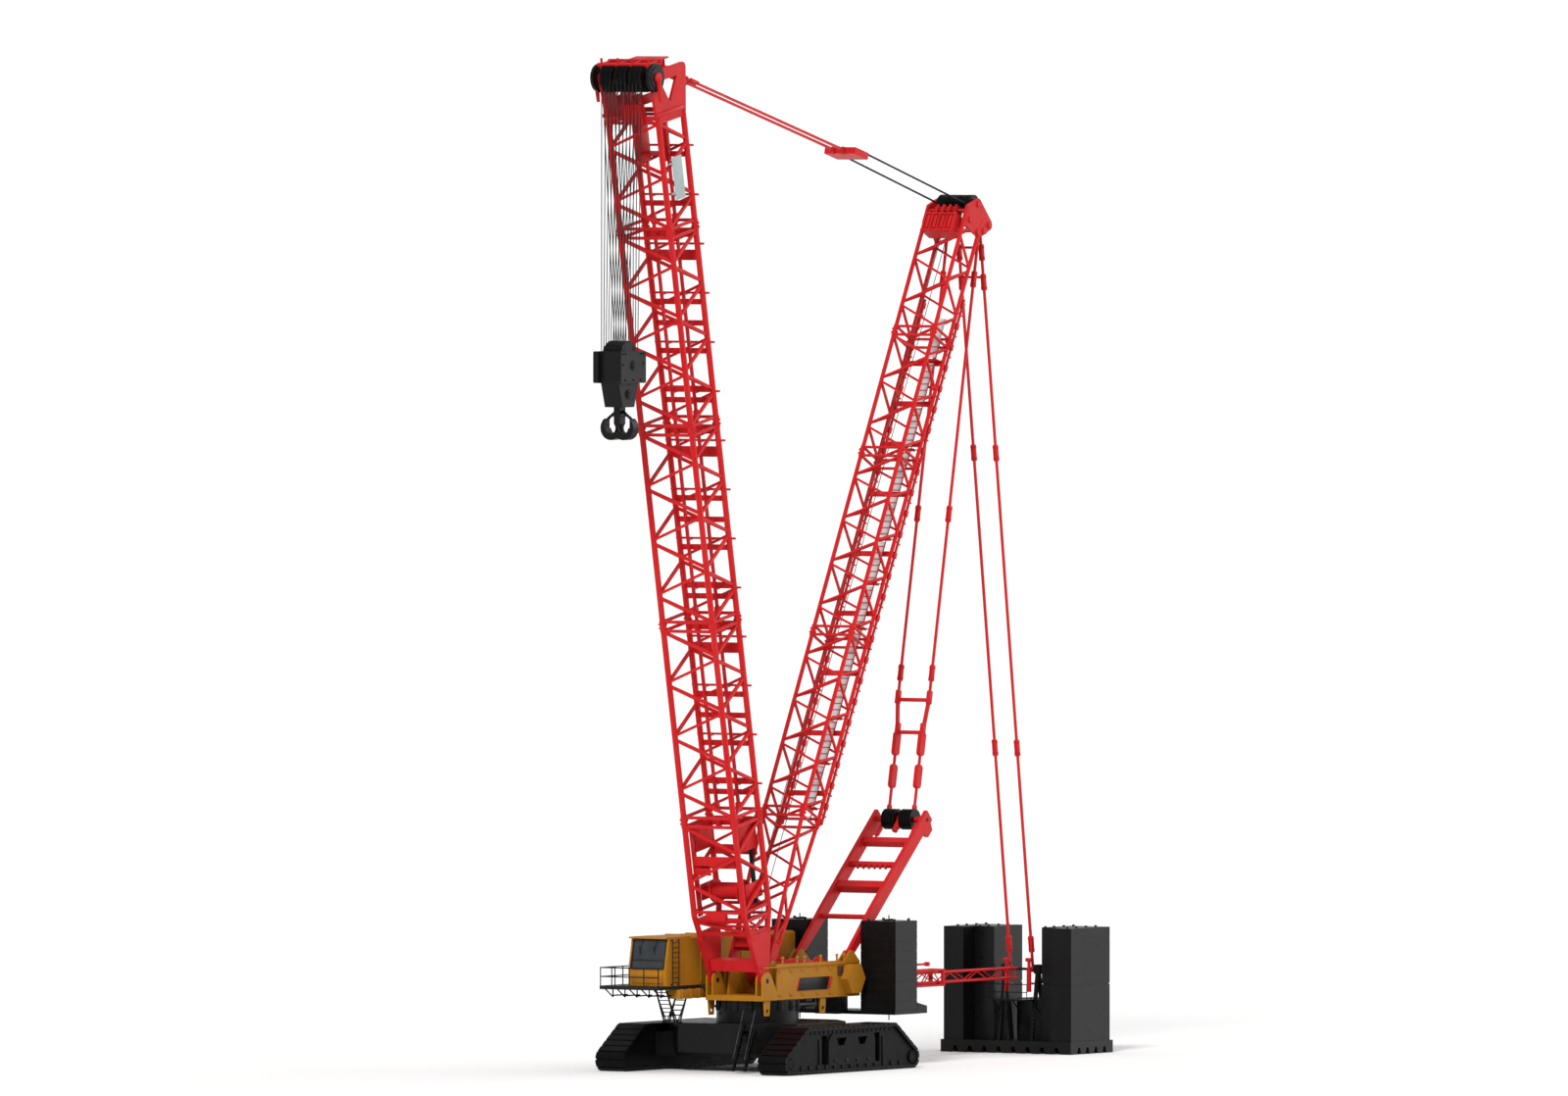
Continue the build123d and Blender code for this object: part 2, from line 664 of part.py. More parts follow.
# Winch drums between the girders, each on a shaft that ends at the inner girder plates
winch_z = PLATFORM_TOP - CROSS_BEAM
winch_reach = inner_plate_y - GIRDER_PLATE / 2
for name, x in (("hoist_winch", HOIST_WINCH_X), ("luffing_winch", LUFFING_WINCH_X)):
    inside = winch_reach - WINCH_FLANGE
    with BuildPart() as winch:
        add(
            [
                prism((x, -winch_reach, winch_z), (x, winch_reach, winch_z), SHEAVE_AXLE, ROUND_SIDES),
                prism((x, -inside, winch_z), (x, inside, winch_z), WINCH_RADIUS, ROUND_SIDES),
                prism((x, -inside, winch_z), (x, WINCH_FLANGE - inside, winch_z), SHEAVE_RADIUS, ROUND_SIDES),
                prism((x, inside - WINCH_FLANGE, winch_z), (x, inside, winch_z), SHEAVE_RADIUS, ROUND_SIDES),
            ]
        )
    save(winch, name)

# Deck that carries the house, the cab and the walkway on the right-hand side
house_outer = HOUSE_INNER - HOUSE_WIDTH
cab_front = HOUSE_FRONT + CAB_LENGTH
deck_outer = house_outer - WALKWAY_WIDTH
deck_front = cab_front + WALKWAY_FRONT
with BuildPart() as side_deck:
    with BuildSketch(Plane.XY.offset(HOUSE_BOTTOM - DECK_THICKNESS)):
        with BuildLine():
            Polyline(
                (HOUSE_REAR, -girder_face),
                (platform_front, -girder_face),
                (platform_front, HOUSE_INNER),
                (deck_front, HOUSE_INNER),
                (deck_front, deck_outer),
                (HOUSE_FRONT - WALKWAY_WIDTH, deck_outer),
                (HOUSE_FRONT - WALKWAY_WIDTH, house_outer),
                (HOUSE_REAR, house_outer),
                close=True,
            )
        make_face()
    extrude(amount=DECK_THICKNESS)
save(side_deck, "side_deck")

# Handrail round the cab
rail_path = [
    (HOUSE_FRONT - WALKWAY_WIDTH + RAIL, deck_outer + RAIL),
    (deck_front - RAIL, deck_outer + RAIL),
    (deck_front - RAIL, HOUSE_INNER - RAIL),
]
with BuildPart() as cab_handrail:
    rails = []
    for (x0, y0), (x1, y1) in zip(rail_path, rail_path[1:]):
        for height in (RAIL_HEIGHT / 2, RAIL_HEIGHT):
            z = HOUSE_BOTTOM + height
            rails.append(prism((x0, y0, z), (x1, y1, z), RAIL, 6))
        for k in range(RAIL_POSTS + 1):
            share = k / RAIL_POSTS
            x, y = x0 + (x1 - x0) * share, y0 + (y1 - y0) * share
            rails.append(prism((x, y, HOUSE_BOTTOM), (x, y, HOUSE_BOTTOM + RAIL_HEIGHT + RAIL), RAIL, 6))
    add(rails)
save(cab_handrail, "cab_handrail")

# Hanging ladder under the deck, a V of stiles with rungs on its rear leg
ladder_top = HOUSE_BOTTOM - DECK_THICKNESS
ladder_drop = ladder_top - BODY_TOP
ladder_sides = (HOUSE_INNER - 2 * RAIL, HOUSE_INNER - STAIR_WIDTH)
ladder_foot = HOUSE_FRONT + STAIR_RUN
ladder_bars = []
for y in ladder_sides:
    for x in (HOUSE_FRONT, HOUSE_FRONT + 2 * STAIR_RUN):
        ladder_bars.append(prism((x, y, ladder_top - 3 * RAIL), (x, y, ladder_top), RAIL, 6))
        start = (x, y, ladder_top - 2 * RAIL)
        ladder_bars.append(prism(start, (ladder_foot, y, ladder_top - ladder_drop), RAIL, 6))
for k in range(1, STAIR_TREADS + 1):
    share = k / (STAIR_TREADS + 0.5)
    x = HOUSE_FRONT + share * STAIR_RUN
    z = ladder_top - 2 * RAIL - share * (ladder_drop - 2 * RAIL)
    ladder_bars.append(prism((x, ladder_sides[0], z), (x, ladder_sides[1], z), RAIL, 6))
with BuildPart() as hanging_ladder:
    add(ladder_bars)
save(hanging_ladder, "hanging_ladder")

# Machinery house, closed all round
with BuildPart() as machinery_house:
    with BuildSketch(Plane.XY.offset(HOUSE_BOTTOM)):
        with Locations(((HOUSE_REAR + HOUSE_FRONT) / 2, HOUSE_INNER - HOUSE_WIDTH / 2)):
            Rectangle(HOUSE_FRONT - HOUSE_REAR, HOUSE_WIDTH)
    extrude(amount=HOUSE_HEIGHT)
    chamfer(machinery_house.faces().sort_by(Axis.Z)[-1].edges(), HOUSE_CHAMFER)
save(machinery_house, "machinery_house")

# Cab: hollow shell with its windscreen and its doorway cut
cab_roof = HOUSE_BOTTOM + HOUSE_HEIGHT
cab_mid_y = HOUSE_INNER - HOUSE_WIDTH / 2


def cab_outline(inset):
    """Corners of the cab's side outline, with its raked front."""
    return [
        (HOUSE_FRONT + inset, HOUSE_BOTTOM + inset),
        (cab_front - inset, HOUSE_BOTTOM + inset),
        (cab_front - inset, HOUSE_BOTTOM + WINDOW_SILL),
        (cab_front - CAB_RAKE - inset, cab_roof - inset),
        (HOUSE_FRONT + inset, cab_roof - inset),
    ]


door_x0 = HOUSE_FRONT + DOOR_REAR
door_x1 = door_x0 + DOOR_LENGTH
door_z0 = HOUSE_BOTTOM + CAB_WALL
door_z1 = cab_roof - PILLAR
window_z0 = HOUSE_BOTTOM + WINDOW_SILL
with BuildPart() as cab_shell:
    with BuildSketch(Plane.XZ.offset(-HOUSE_INNER)):
        Polygon(*cab_outline(0), align=None)
    extrude(amount=HOUSE_WIDTH)
    with BuildSketch(Plane.XZ.offset(-HOUSE_INNER + CAB_WALL)):
        Polygon(*cab_outline(CAB_WALL), align=None)
    extrude(amount=HOUSE_WIDTH - 2 * CAB_WALL, mode=Mode.SUBTRACT)
    with BuildSketch(Plane.YZ.offset(cab_front - CAB_RAKE - 2 * CAB_WALL)):
        with Locations((cab_mid_y, (window_z0 + door_z1) / 2)):
            Rectangle(HOUSE_WIDTH - 2 * PILLAR, door_z1 - window_z0)
    extrude(amount=CAB_RAKE + 3 * CAB_WALL, mode=Mode.SUBTRACT)
    with BuildSketch(Plane.XZ.offset(-house_outer - 2 * CAB_WALL)):
        with Locations(((door_x0 + door_x1) / 2, (door_z0 + door_z1) / 2)):
            Rectangle(door_x1 - door_x0, door_z1 - door_z0)
    extrude(amount=3 * CAB_WALL, mode=Mode.SUBTRACT)
save(cab_shell, "cab_shell")

# Cab glass: the raked windscreen, set in the middle of the front wall
with BuildPart() as cab_glass:
    slope_z = door_z1 - window_z0
    slope_x = CAB_RAKE * slope_z / (cab_roof - window_z0)
    with BuildSketch(Plane.XZ.offset(-HOUSE_INNER + PILLAR)):
        with BuildLine():
            Polyline(
                (cab_front - CAB_WALL / 2, window_z0),
                (cab_front - CAB_WALL / 2 + GLASS_THICKNESS, window_z0),
                (cab_front - slope_x - CAB_WALL / 2 + GLASS_THICKNESS, door_z1),
                (cab_front - slope_x - CAB_WALL / 2, door_z1),
                close=True,
            )
        make_face()
    extrude(amount=HOUSE_WIDTH - 2 * PILLAR)
save(cab_glass, "cab_glass")

# Cab door, hinged at its rear edge, with its own window opening
with BuildPart() as cab_door:
    with BuildSketch(Plane.XZ.offset(-house_outer - CAB_WALL)):
        with Locations(((door_x0 + door_x1) / 2, (door_z0 + door_z1) / 2)):
            Rectangle(door_x1 - door_x0 - 2 * DOOR_GAP, door_z1 - door_z0 - 2 * DOOR_GAP)
        with Locations(((door_x0 + door_x1) / 2, (window_z0 + door_z1) / 2)):
            Rectangle(DOOR_LENGTH - 2 * PILLAR, door_z1 - window_z0 - PILLAR, mode=Mode.SUBTRACT)
    extrude(amount=CAB_WALL)
    for z in (door_z0 + DOOR_HINGE, door_z1 - DOOR_HINGE):
        with Locations((door_x0 + DOOR_HINGE / 2, house_outer - DOOR_KNUCKLE / 2, z)):
            Box(DOOR_HINGE, DOOR_KNUCKLE + 2 * DOOR_GAP, DOOR_HINGE)
        with Locations((door_x0, house_outer - DOOR_KNUCKLE - SEAT_GAP, z)):
            Cylinder(DOOR_KNUCKLE, DOOR_HINGE)
save(cab_door, "cab_door")

# Driver's seat
with BuildPart() as cab_seat:
    seat_x = HOUSE_FRONT + SEAT_AHEAD
    cab_floor = HOUSE_BOTTOM + CAB_WALL
    cushion_top = cab_floor + SEAT_POST_HEIGHT + SEAT_CUSHION
    with BuildSketch(Plane.XY.offset(cab_floor)):
        with Locations((seat_x, cab_mid_y)):
            Rectangle(SEAT_POST, SEAT_POST)
    extrude(amount=SEAT_POST_HEIGHT)
    with BuildSketch(Plane.XY.offset(cab_floor + SEAT_POST_HEIGHT)):
        with Locations((seat_x, cab_mid_y)):
            Rectangle(SEAT_WIDTH, SEAT_WIDTH)
    extrude(amount=SEAT_CUSHION)
    with BuildSketch(Plane.XY.offset(cushion_top)):
        with Locations((seat_x - (SEAT_WIDTH - SEAT_BACK) / 2, cab_mid_y)):
            Rectangle(SEAT_BACK, SEAT_WIDTH)
    extrude(amount=SEAT_BACK_HEIGHT)
save(cab_seat, "cab_seat")

# Central ballast: a tray behind the platform and one stack of slabs on each side
ballast_rear = BALLAST_FRONT - BALLAST_LENGTH
ballast_outer = BALLAST_INNER + BALLAST_WIDTH
with BuildPart() as ballast_tray:
    with BuildSketch(Plane.XY.offset(BALLAST_BASE - BALLAST_TRAY)):
        with Locations(((PLATFORM_REAR + ballast_rear - BALLAST_MARGIN) / 2, 0)):
            Rectangle(PLATFORM_REAR - ballast_rear + BALLAST_MARGIN, 2 * (ballast_outer + BALLAST_MARGIN))
    extrude(amount=BALLAST_TRAY)
    with BuildSketch(Plane.XY.offset(BALLAST_BASE)):
        with Locations((PLATFORM_REAR - CROSS_BEAM / 2, 0)):
            Rectangle(CROSS_BEAM, 2 * BALLAST_BEAM)
    extrude(amount=STRUT_Z - STRUT_OUTER_HALF - BALLAST_BASE - 2 * STRUT_CHORD)
    with BuildSketch(Plane.XY.offset(BALLAST_BASE - BALLAST_TRAY)):
        with Locations((PLATFORM_REAR + CROSS_BEAM / 2, 0)):
            Rectangle(CROSS_BEAM, 2 * BALLAST_BEAM)
    extrude(amount=PLATFORM_BOTTOM - BALLAST_BASE + BALLAST_TRAY)
    for sign in (1, -1):
        with BuildSketch(Plane.XZ.offset(-sign * (BALLAST_INNER + BALLAST_WIDTH / 2))):
            Polygon(
                (ballast_rear - BALLAST_MARGIN / 2, BALLAST_BASE - BALLAST_TRAY),
                (ballast_rear - BALLAST_BRACKET, BALLAST_BASE - BALLAST_TRAY),
                (ballast_rear - BALLAST_BRACKET, BALLAST_BASE + BALLAST_TRAY),
                (ballast_rear - BALLAST_MARGIN / 2, BALLAST_BASE + 2 * BALLAST_TRAY),
                align=None,
            )
        extrude(amount=BALLAST_WIDTH / 2, both=True)
save(ballast_tray, "ballast_tray")

for side, sign in (("left", 1), ("right", -1)):
    stack_y = sign * (BALLAST_INNER + BALLAST_WIDTH / 2)
    with BuildPart() as ballast:
        with BuildSketch(Plane.XY.offset(BALLAST_BASE)):
            with Locations((BALLAST_FRONT - BALLAST_LENGTH / 2, stack_y)):
                Rectangle(BALLAST_LENGTH, BALLAST_WIDTH)
        extrude(amount=BALLAST_SLABS * BALLAST_SLAB)
        for k in range(1, BALLAST_SLABS):
            with BuildSketch(Plane.XY.offset(BALLAST_BASE + k * BALLAST_SLAB - BALLAST_JOINT / 2)):
                with Locations((BALLAST_FRONT - BALLAST_LENGTH / 2, stack_y)):
                    Rectangle(BALLAST_LENGTH, BALLAST_WIDTH)
                    Rectangle(
                        BALLAST_LENGTH - 2 * BALLAST_JOINT,
                        BALLAST_WIDTH - 2 * BALLAST_JOINT,
                        mode=Mode.SUBTRACT,
                    )
            extrude(amount=BALLAST_JOINT, mode=Mode.SUBTRACT)
    save(ballast, f"{side}_ballast_stack")

# Boom: butt, three inserts and head
with BuildPart() as boom_foot_pin:
    pins = []
    for sign in (1, -1):
        reach = GIRDER_PLATE + SIDE_GAP + BOOM_EYE / 2
        pins.append(
            round_bar(
                (BOOM_FOOT_X, sign * boom_y - reach, BOOM_FOOT_Z),
                (BOOM_FOOT_X, sign * boom_y + reach, BOOM_FOOT_Z),
                BOOM_PIN,
            )
        )
    add(pins)
save(boom_foot_pin, "boom_foot_pin")

boom_box = (BOOM_HALF_DEPTH, boom_y)
foot_box = (BOOM_FOOT_HALF, boom_y)
foot_tip = BOOM_FOOT_HALF + BOOM_CHORD
with BuildPart() as boom_butt:
    taper = lattice(BOOM_TAPER - BOOM_FOOT_REACH, foot_box, boom_box, BOOM_CHORD, BOOM_BRACE, 1, END_FRAME)
    body_length = BOOM_BUTT - BOOM_TAPER
    body = lattice(body_length, boom_box, boom_box, BOOM_CHORD, BOOM_BRACE, BOOM_BUTT_PANELS, END_FRAME)
    add(placed(taper, boom_frame, BOOM_FOOT_REACH) + placed(body, boom_frame, BOOM_TAPER))
    feet = [eye(BOOM_EYE_RADIUS, BOOM_EYE, BOOM_PIN, s * boom_y, BOOM_FOOT_REACH, foot_tip) for s in (1, -1)]
    add(placed(feet, boom_frame))
    with BuildSketch(boom_frame.offset(BOOM_FOOT_BEAM_START)):
        Rectangle(2 * BOOM_EYE_RADIUS, 2 * boom_y - BOOM_EYE)
    extrude(amount=BOOM_FOOT_BEAM)
    add(placed(collars(BOOM_BUTT, *boom_box, BOOM_CHORD, ["top"]), boom_frame))
save(boom_butt, "boom_butt")

with BuildPart() as boom_section:
    add(lattice(BOOM_INSERT, boom_box, boom_box, BOOM_CHORD, BOOM_BRACE, BOOM_PANELS, END_FRAME))
    add(collars(BOOM_INSERT, *boom_box, BOOM_CHORD, ["base", "top"]))
    add(rear_plates(BOOM_INSERT, *boom_box))
for k in range(3):
    with BuildPart() as boom_insert:
        add(placed([boom_section.part], boom_frame, BOOM_BUTT + k * BOOM_INSERT))
    save(boom_insert, f"boom_insert_{k + 1}")

head_base = boom_length - BOOM_HEAD


def boom_head_plate(y):
    """Side plate of the boom head with its triangular window, in the boom's local XZ plane."""
    with BuildPart() as plate:
        with BuildSketch(Plane.XZ.offset(-y)):
            with Locations((HEAD_SHEAVE_AHEAD, HEAD_RISE), (-HEAD_STAY_BEHIND, HEAD_RISE)):
                Circle(2 * SHEAVE_AXLE)
            Rectangle(2 * (BOOM_HALF_DEPTH + BOOM_CHORD), 2 * BOOM_CHORD)
            make_hull()
            Polygon(
                (0, 4 * BOOM_CHORD),
                (HEAD_SHEAVE_AHEAD - 4 * SHEAVE_AXLE, HEAD_RISE - 2 * SHEAVE_AXLE),
                (-HEAD_STAY_BEHIND + 4 * SHEAVE_AXLE, HEAD_RISE - 2 * SHEAVE_AXLE),
                align=None,
                mode=Mode.SUBTRACT,
            )
            with Locations((HEAD_SHEAVE_AHEAD, HEAD_RISE)):
                Circle(SHEAVE_AXLE + SEAT_GAP, mode=Mode.SUBTRACT)
        extrude(amount=HEAD_PLATE / 2, both=True)
    return plate.part


def roller_row():
    """Beam across the rear of the boom head with a row of upright rope rollers under a top plate."""
    beam_top = HEAD_RISE + SHEAVE_AXLE
    with BuildPart() as row:
        with BuildSketch(Plane.XY.offset(beam_top - ROLLER_BEAM)):
            with Locations((-ROLLER_BEHIND, 0)):
                Rectangle(ROLLER_DEPTH, 2 * boom_y)
        extrude(amount=ROLLER_BEAM)
        with BuildSketch(Plane.XY.offset(beam_top)):
            with Locations((-ROLLER_BEHIND, 0)):
                with GridLocations(0, ROLLER_ROW / ROLLER_COUNT, 1, ROLLER_COUNT):
                    RegularPolygon(ROLLER_RADIUS, 8)
        extrude(amount=ROLLER_HEIGHT)
        with BuildSketch(Plane.XY.offset(beam_top + ROLLER_HEIGHT)):
            with Locations((-ROLLER_BEHIND, 0)):
                Rectangle(ROLLER_DEPTH, ROLLER_ROW)
        extrude(amount=ROLLER_PLATE)
    return row.part


head_plates = [boom_head_plate(boom_y), boom_head_plate(-boom_y), roller_row()]
for x, z, radius, sides in (
    (-HEAD_STAY_BEHIND, HEAD_RISE, STAY_PIN, ROUND_SIDES),
    (BOOM_HALF_DEPTH, 0, BOOM_CHORD, 4),
    (-BOOM_HALF_DEPTH, 0, BOOM_CHORD, 4),
    (0, HEAD_RISE, BOOM_CHORD, 4),
):
    head_plates.append(prism((x, -boom_y, z), (x, boom_y, z), radius, sides))
with BuildPart() as boom_head:
    pieces = lattice(BOOM_HEAD, boom_box, boom_box, BOOM_CHORD, BOOM_BRACE, BOOM_HEAD_PANELS, END_FRAME)
    pieces += collars(BOOM_HEAD, *boom_box, BOOM_CHORD, ["base"])
    add(placed(pieces, boom_frame, head_base) + placed(head_plates, boom_frame, boom_length))
save(boom_head, "boom_head")

# Sheaves of the boom head on their shaft
with BuildPart() as boom_head_sheaves:
    x, z = sheave_axis.X, sheave_axis.Z
    shaft_end = boom_y + HEAD_PLATE / 2
    pieces = [prism((x, -shaft_end, z), (x, shaft_end, z), SHEAVE_AXLE, ROUND_SIDES)]
    for k in (-1, 0, 1):
        low = k * SHEAVE_GROUP_PITCH - SHEAVE_GROUP / 2
        high = low + SHEAVE_GROUP
        pieces.append(prism((x, low, z), (x, high, z), SHEAVE_RADIUS - SHEAVE_GROOVE, ROUND_SIDES))
        for y in (low, (low + high - SHEAVE_FLANGE) / 2, high - SHEAVE_FLANGE):
            pieces.append(prism((x, y, z), (x, y + SHEAVE_FLANGE, z), SHEAVE_RADIUS, ROUND_SIDES))
    add(pieces)
save(boom_head_sheaves, "boom_head_sheaves")

# Hoist ropes, hook block and ramshorn hook
sheave_flat = SHEAVE_RADIUS * cos(radians(180 / ROUND_SIDES))
falls_x = sheave_axis.X + sheave_flat + ROPE_RADIUS * cos(radians(45)) + SEAT_GAP
falls_top = sheave_axis.Z
block_top = falls_top - FALLS_LENGTH
with BuildPart() as hoist_ropes:
    strands = []
    for k in range(FALLS):
        y = (k - (FALLS - 1) / 2) * (BLOCK_WIDTH - 2 * BLOCK_CHEEK) / FALLS
        strands.append(prism((falls_x, y, block_top + SEAT_GAP), (falls_x, y, falls_top), ROPE_RADIUS, 4))
    add(strands)
save(hoist_ropes, "hoist_ropes")

cheek_top = block_top - BLOCK_CHEEK_DROP
body_bottom = block_top - BLOCK_HEIGHT
body_half = BLOCK_WIDTH / 2 - BLOCK_CHEEK
with BuildPart() as hook_block:
    with BuildSketch(Plane.XZ.offset(-body_half)):
        Polygon(
            (falls_x - BLOCK_BODY / 2, cheek_top),
            (falls_x + BLOCK_BODY / 2, cheek_top),
            (falls_x + BLOCK_BODY / 2, cheek_top - BLOCK_CHEEK_HEIGHT),
            (falls_x + BLOCK_FOOT / 2, body_bottom),
            (falls_x - BLOCK_FOOT / 2, body_bottom),
            (falls_x - BLOCK_BODY / 2, cheek_top - BLOCK_CHEEK_HEIGHT),
            align=None,
        )
    extrude(amount=2 * body_half)
    for s in (1, -1):
        with BuildSketch(Plane.XZ.offset(-s * body_half)):
            with Locations((falls_x, cheek_top - BLOCK_CHEEK_HEIGHT / 2)):
                RectangleRounded(BLOCK_DEPTH, BLOCK_CHEEK_HEIGHT, BLOCK_CORNER)
        extrude(amount=-s * BLOCK_CHEEK)
    block_flat = BLOCK_SHEAVE * cos(radians(180 / ROUND_SIDES))
    with BuildSketch(Plane(origin=(falls_x, -body_half, block_top - block_flat), z_dir=(0, 1, 0))):
        RegularPolygon(BLOCK_SHEAVE, ROUND_SIDES, rotation=180 / ROUND_SIDES)
    extrude(amount=2 * body_half)
save(hook_block, "hook_block")

hook_top = block_top - BLOCK_HEIGHT
with BuildPart() as hook:
    hook_mid = hook_top - HOOK_DROP
    with BuildSketch(Plane.YZ.offset(falls_x)):
        with Locations((0, hook_top - SEAT_GAP - HOOK_DROP / 2)):
            Rectangle(2 * HOOK_SHANK, HOOK_DROP)
        for s in (1, -1):
            with Locations((s * (HOOK_THROAT + HOOK_SHANK / 2), hook_mid)):
                Circle(HOOK_THROAT + HOOK_ARM)
        for s in (1, -1):
            with Locations((s * (HOOK_THROAT + HOOK_SHANK / 2), hook_mid)):
                Circle(HOOK_THROAT, mode=Mode.SUBTRACT)
            with Locations((s * (HOOK_THROAT + HOOK_SHANK), hook_mid + HOOK_THROAT)):
                Rectangle(2 * HOOK_THROAT, 2 * HOOK_THROAT, mode=Mode.SUBTRACT)
    extrude(amount=HOOK_THICKNESS / 2, both=True)
    with BuildSketch(Plane.XY.offset(hook_mid - HOOK_SHANK)):
        with Locations((falls_x, 0)):
            Circle(HOOK_SHANK)
    extrude(amount=HOOK_DROP + HOOK_SHANK - SEAT_GAP)
    with BuildSketch(Plane.YZ.offset(falls_x)):
        with Locations((0, hook_mid - HOOK_SHANK / 2)):
            Circle(HOOK_BORE)
    extrude(amount=HOOK_THICKNESS, both=True, mode=Mode.SUBTRACT)
save(hook, "hook")

# Superlift mast: butt, three inserts and head
mast_box = (MAST_HALF_DEPTH, MAST_HALF_WIDTH)
mast_foot_box = (MAST_EYE_RADIUS, MAST_HALF_WIDTH)
mast_tip_half = MAST_EYE_RADIUS + MAST_CHORD
with BuildPart() as mast_butt:
    pieces = lattice(
        MAST_BUTT - MAST_FOOT_REACH,
        mast_foot_box,
        mast_box,
        MAST_CHORD,
        MAST_BRACE,
        MAST_BUTT_PANELS,
        END_FRAME,
    )
    add(placed(pieces, mast_frame, MAST_FOOT_REACH))
    feet = [
        eye(MAST_EYE_RADIUS, MAST_EYE, MAST_PIN, s * MAST_HALF_WIDTH, MAST_FOOT_REACH, mast_tip_half)
        for s in (1, -1)
    ]
    add(placed(feet, mast_frame))
    with BuildSketch(mast_frame.offset(MAST_FOOT_REACH - MAST_EYE_RADIUS)):
        Rectangle(2 * MAST_EYE_RADIUS, 2 * MAST_HALF_WIDTH - MAST_EYE)
    extrude(amount=2 * MAST_EYE_RADIUS)
    add(placed(collars(MAST_BUTT, *mast_box, MAST_CHORD, ["top"]), mast_frame))
save(mast_butt, "mast_butt")

mast_along = MAST_BUTT
mast_sections = [(MAST_INSERT, MAST_PANELS)] * 2 + [(MAST_SHORT_INSERT, MAST_SHORT_PANELS)]
for k, (length, panels) in enumerate(mast_sections):
    with BuildPart() as mast_insert:
        pieces = lattice(length, mast_box, mast_box, MAST_CHORD, MAST_BRACE, panels, END_FRAME)
        pieces += collars(length, *mast_box, MAST_CHORD, ["base", "top"])
        pieces += rear_plates(length, *mast_box)
        add(placed(pieces, mast_frame, mast_along))
    save(mast_insert, f"mast_insert_{k + 1}")
    mast_along += length


def mast_head_plate(y):
    """Side plate of the mast head, in the mast's local XZ plane."""
    with BuildPart() as plate:
        with BuildSketch(Plane.XZ.offset(-y)):
            with Locations((0, MAST_TIP_SHEAVE), (-SUPERLIFT_STAY_BEHIND, 0)):
                Circle(2 * SHEAVE_AXLE)
            with Locations((0, -MAST_TIP_SHEAVE)):
                Rectangle(2 * (MAST_HALF_DEPTH + MAST_CHORD), 2 * MAST_TIP_SHEAVE)
            make_hull()
            with Locations((0, MAST_TIP_SHEAVE)):
                Circle(SHEAVE_AXLE + SEAT_GAP, mode=Mode.SUBTRACT)
        extrude(amount=HEAD_PLATE / 2, both=True)
    return plate.part


mast_plates = [mast_head_plate(MAST_HALF_WIDTH), mast_head_plate(-MAST_HALF_WIDTH)]
for x, z in ((-SUPERLIFT_STAY_BEHIND, 0), (-MAST_STAY_BEHIND, -MAST_TIP_SHEAVE)):
    mast_plates.append(prism((x, -MAST_HALF_WIDTH, z), (x, MAST_HALF_WIDTH, z), STAY_PIN, ROUND_SIDES))
with BuildPart() as mast_head:
    pieces = lattice(MAST_HEAD, mast_box, mast_box, MAST_CHORD, MAST_BRACE, MAST_SHORT_PANELS, END_FRAME)
    pieces += collars(MAST_HEAD, *mast_box, MAST_CHORD, ["base"])
    add(placed(pieces, mast_frame, mast_along) + placed(mast_plates, mast_frame, mast_length))
    with BuildSketch(mast_frame.offset(mast_length - MAST_BOX_DROP - MAST_BOX_HEIGHT / 2)):
        with Locations((MAST_HALF_DEPTH, 0)):
            Rectangle(MAST_BOX, MAST_BOX_WIDTH)
    extrude(amount=MAST_BOX_HEIGHT)
save(mast_head, "mast_head")

with BuildPart() as mast_head_sheaves:
    x, z = mast_tip.X, mast_tip.Z
    shaft_end = MAST_HALF_WIDTH + HEAD_PLATE / 2
    pieces = [prism((x, -shaft_end, z), (x, shaft_end, z), SHEAVE_AXLE, ROUND_SIDES)]
    for k in (-1, 1):
        low = k * STAY_BLOCK_HALF - SHEAVE_GROUP / 4
        high = low + SHEAVE_GROUP / 2
        pieces.append(prism((x, low, z), (x, high, z), MAST_TIP_SHEAVE - SHEAVE_GROOVE, ROUND_SIDES))
    add(pieces)
save(mast_head_sheaves, "mast_head_sheaves")

# Boom stay: two strands with a rope block, then the luffing ropes up to the mast head
stay_run = mast_tip - boom_stay_pin
stay_dir = stay_run.normalized()
block_pin = boom_stay_pin + stay_dir * BOOM_STAY_LENGTH
with BuildPart() as boom_pendants:
    add([link(boom_stay_pin, block_pin, s * BOOM_STAY_HALF) for s in (1, -1)])
save(boom_pendants, "boom_pendants")

stay_frame = Plane(origin=block_pin, x_dir=(0, 1, 0), z_dir=stay_dir)
with BuildPart() as luffing_block:
    with BuildSketch(stay_frame.offset(STAY_EYE + SEAT_GAP)):
        Rectangle(2 * STAY_BLOCK_HALF + 4 * STAY_BAR, 6 * STAY_BAR)
    extrude(amount=STAY_BLOCK_LENGTH)
save(luffing_block, "luffing_block")

rope_start = STAY_EYE + SEAT_GAP + STAY_BLOCK_LENGTH + SEAT_GAP
rope_end = stay_run.length - BOOM_STAY_LENGTH - MAST_TIP_SHEAVE
with BuildPart() as luffing_ropes:
    strands = []
    for y in (-STAY_BLOCK_HALF, STAY_BLOCK_HALF):
        for lift in (-3 * LUFF_ROPE, 3 * LUFF_ROPE):
            start = stay_frame.from_local_coords((y, lift, rope_start))
            end = stay_frame.from_local_coords((y, lift, rope_end))
            strands.append(prism(start, end, LUFF_ROPE, 4))
    add(strands)
save(luffing_ropes, "luffing_ropes")

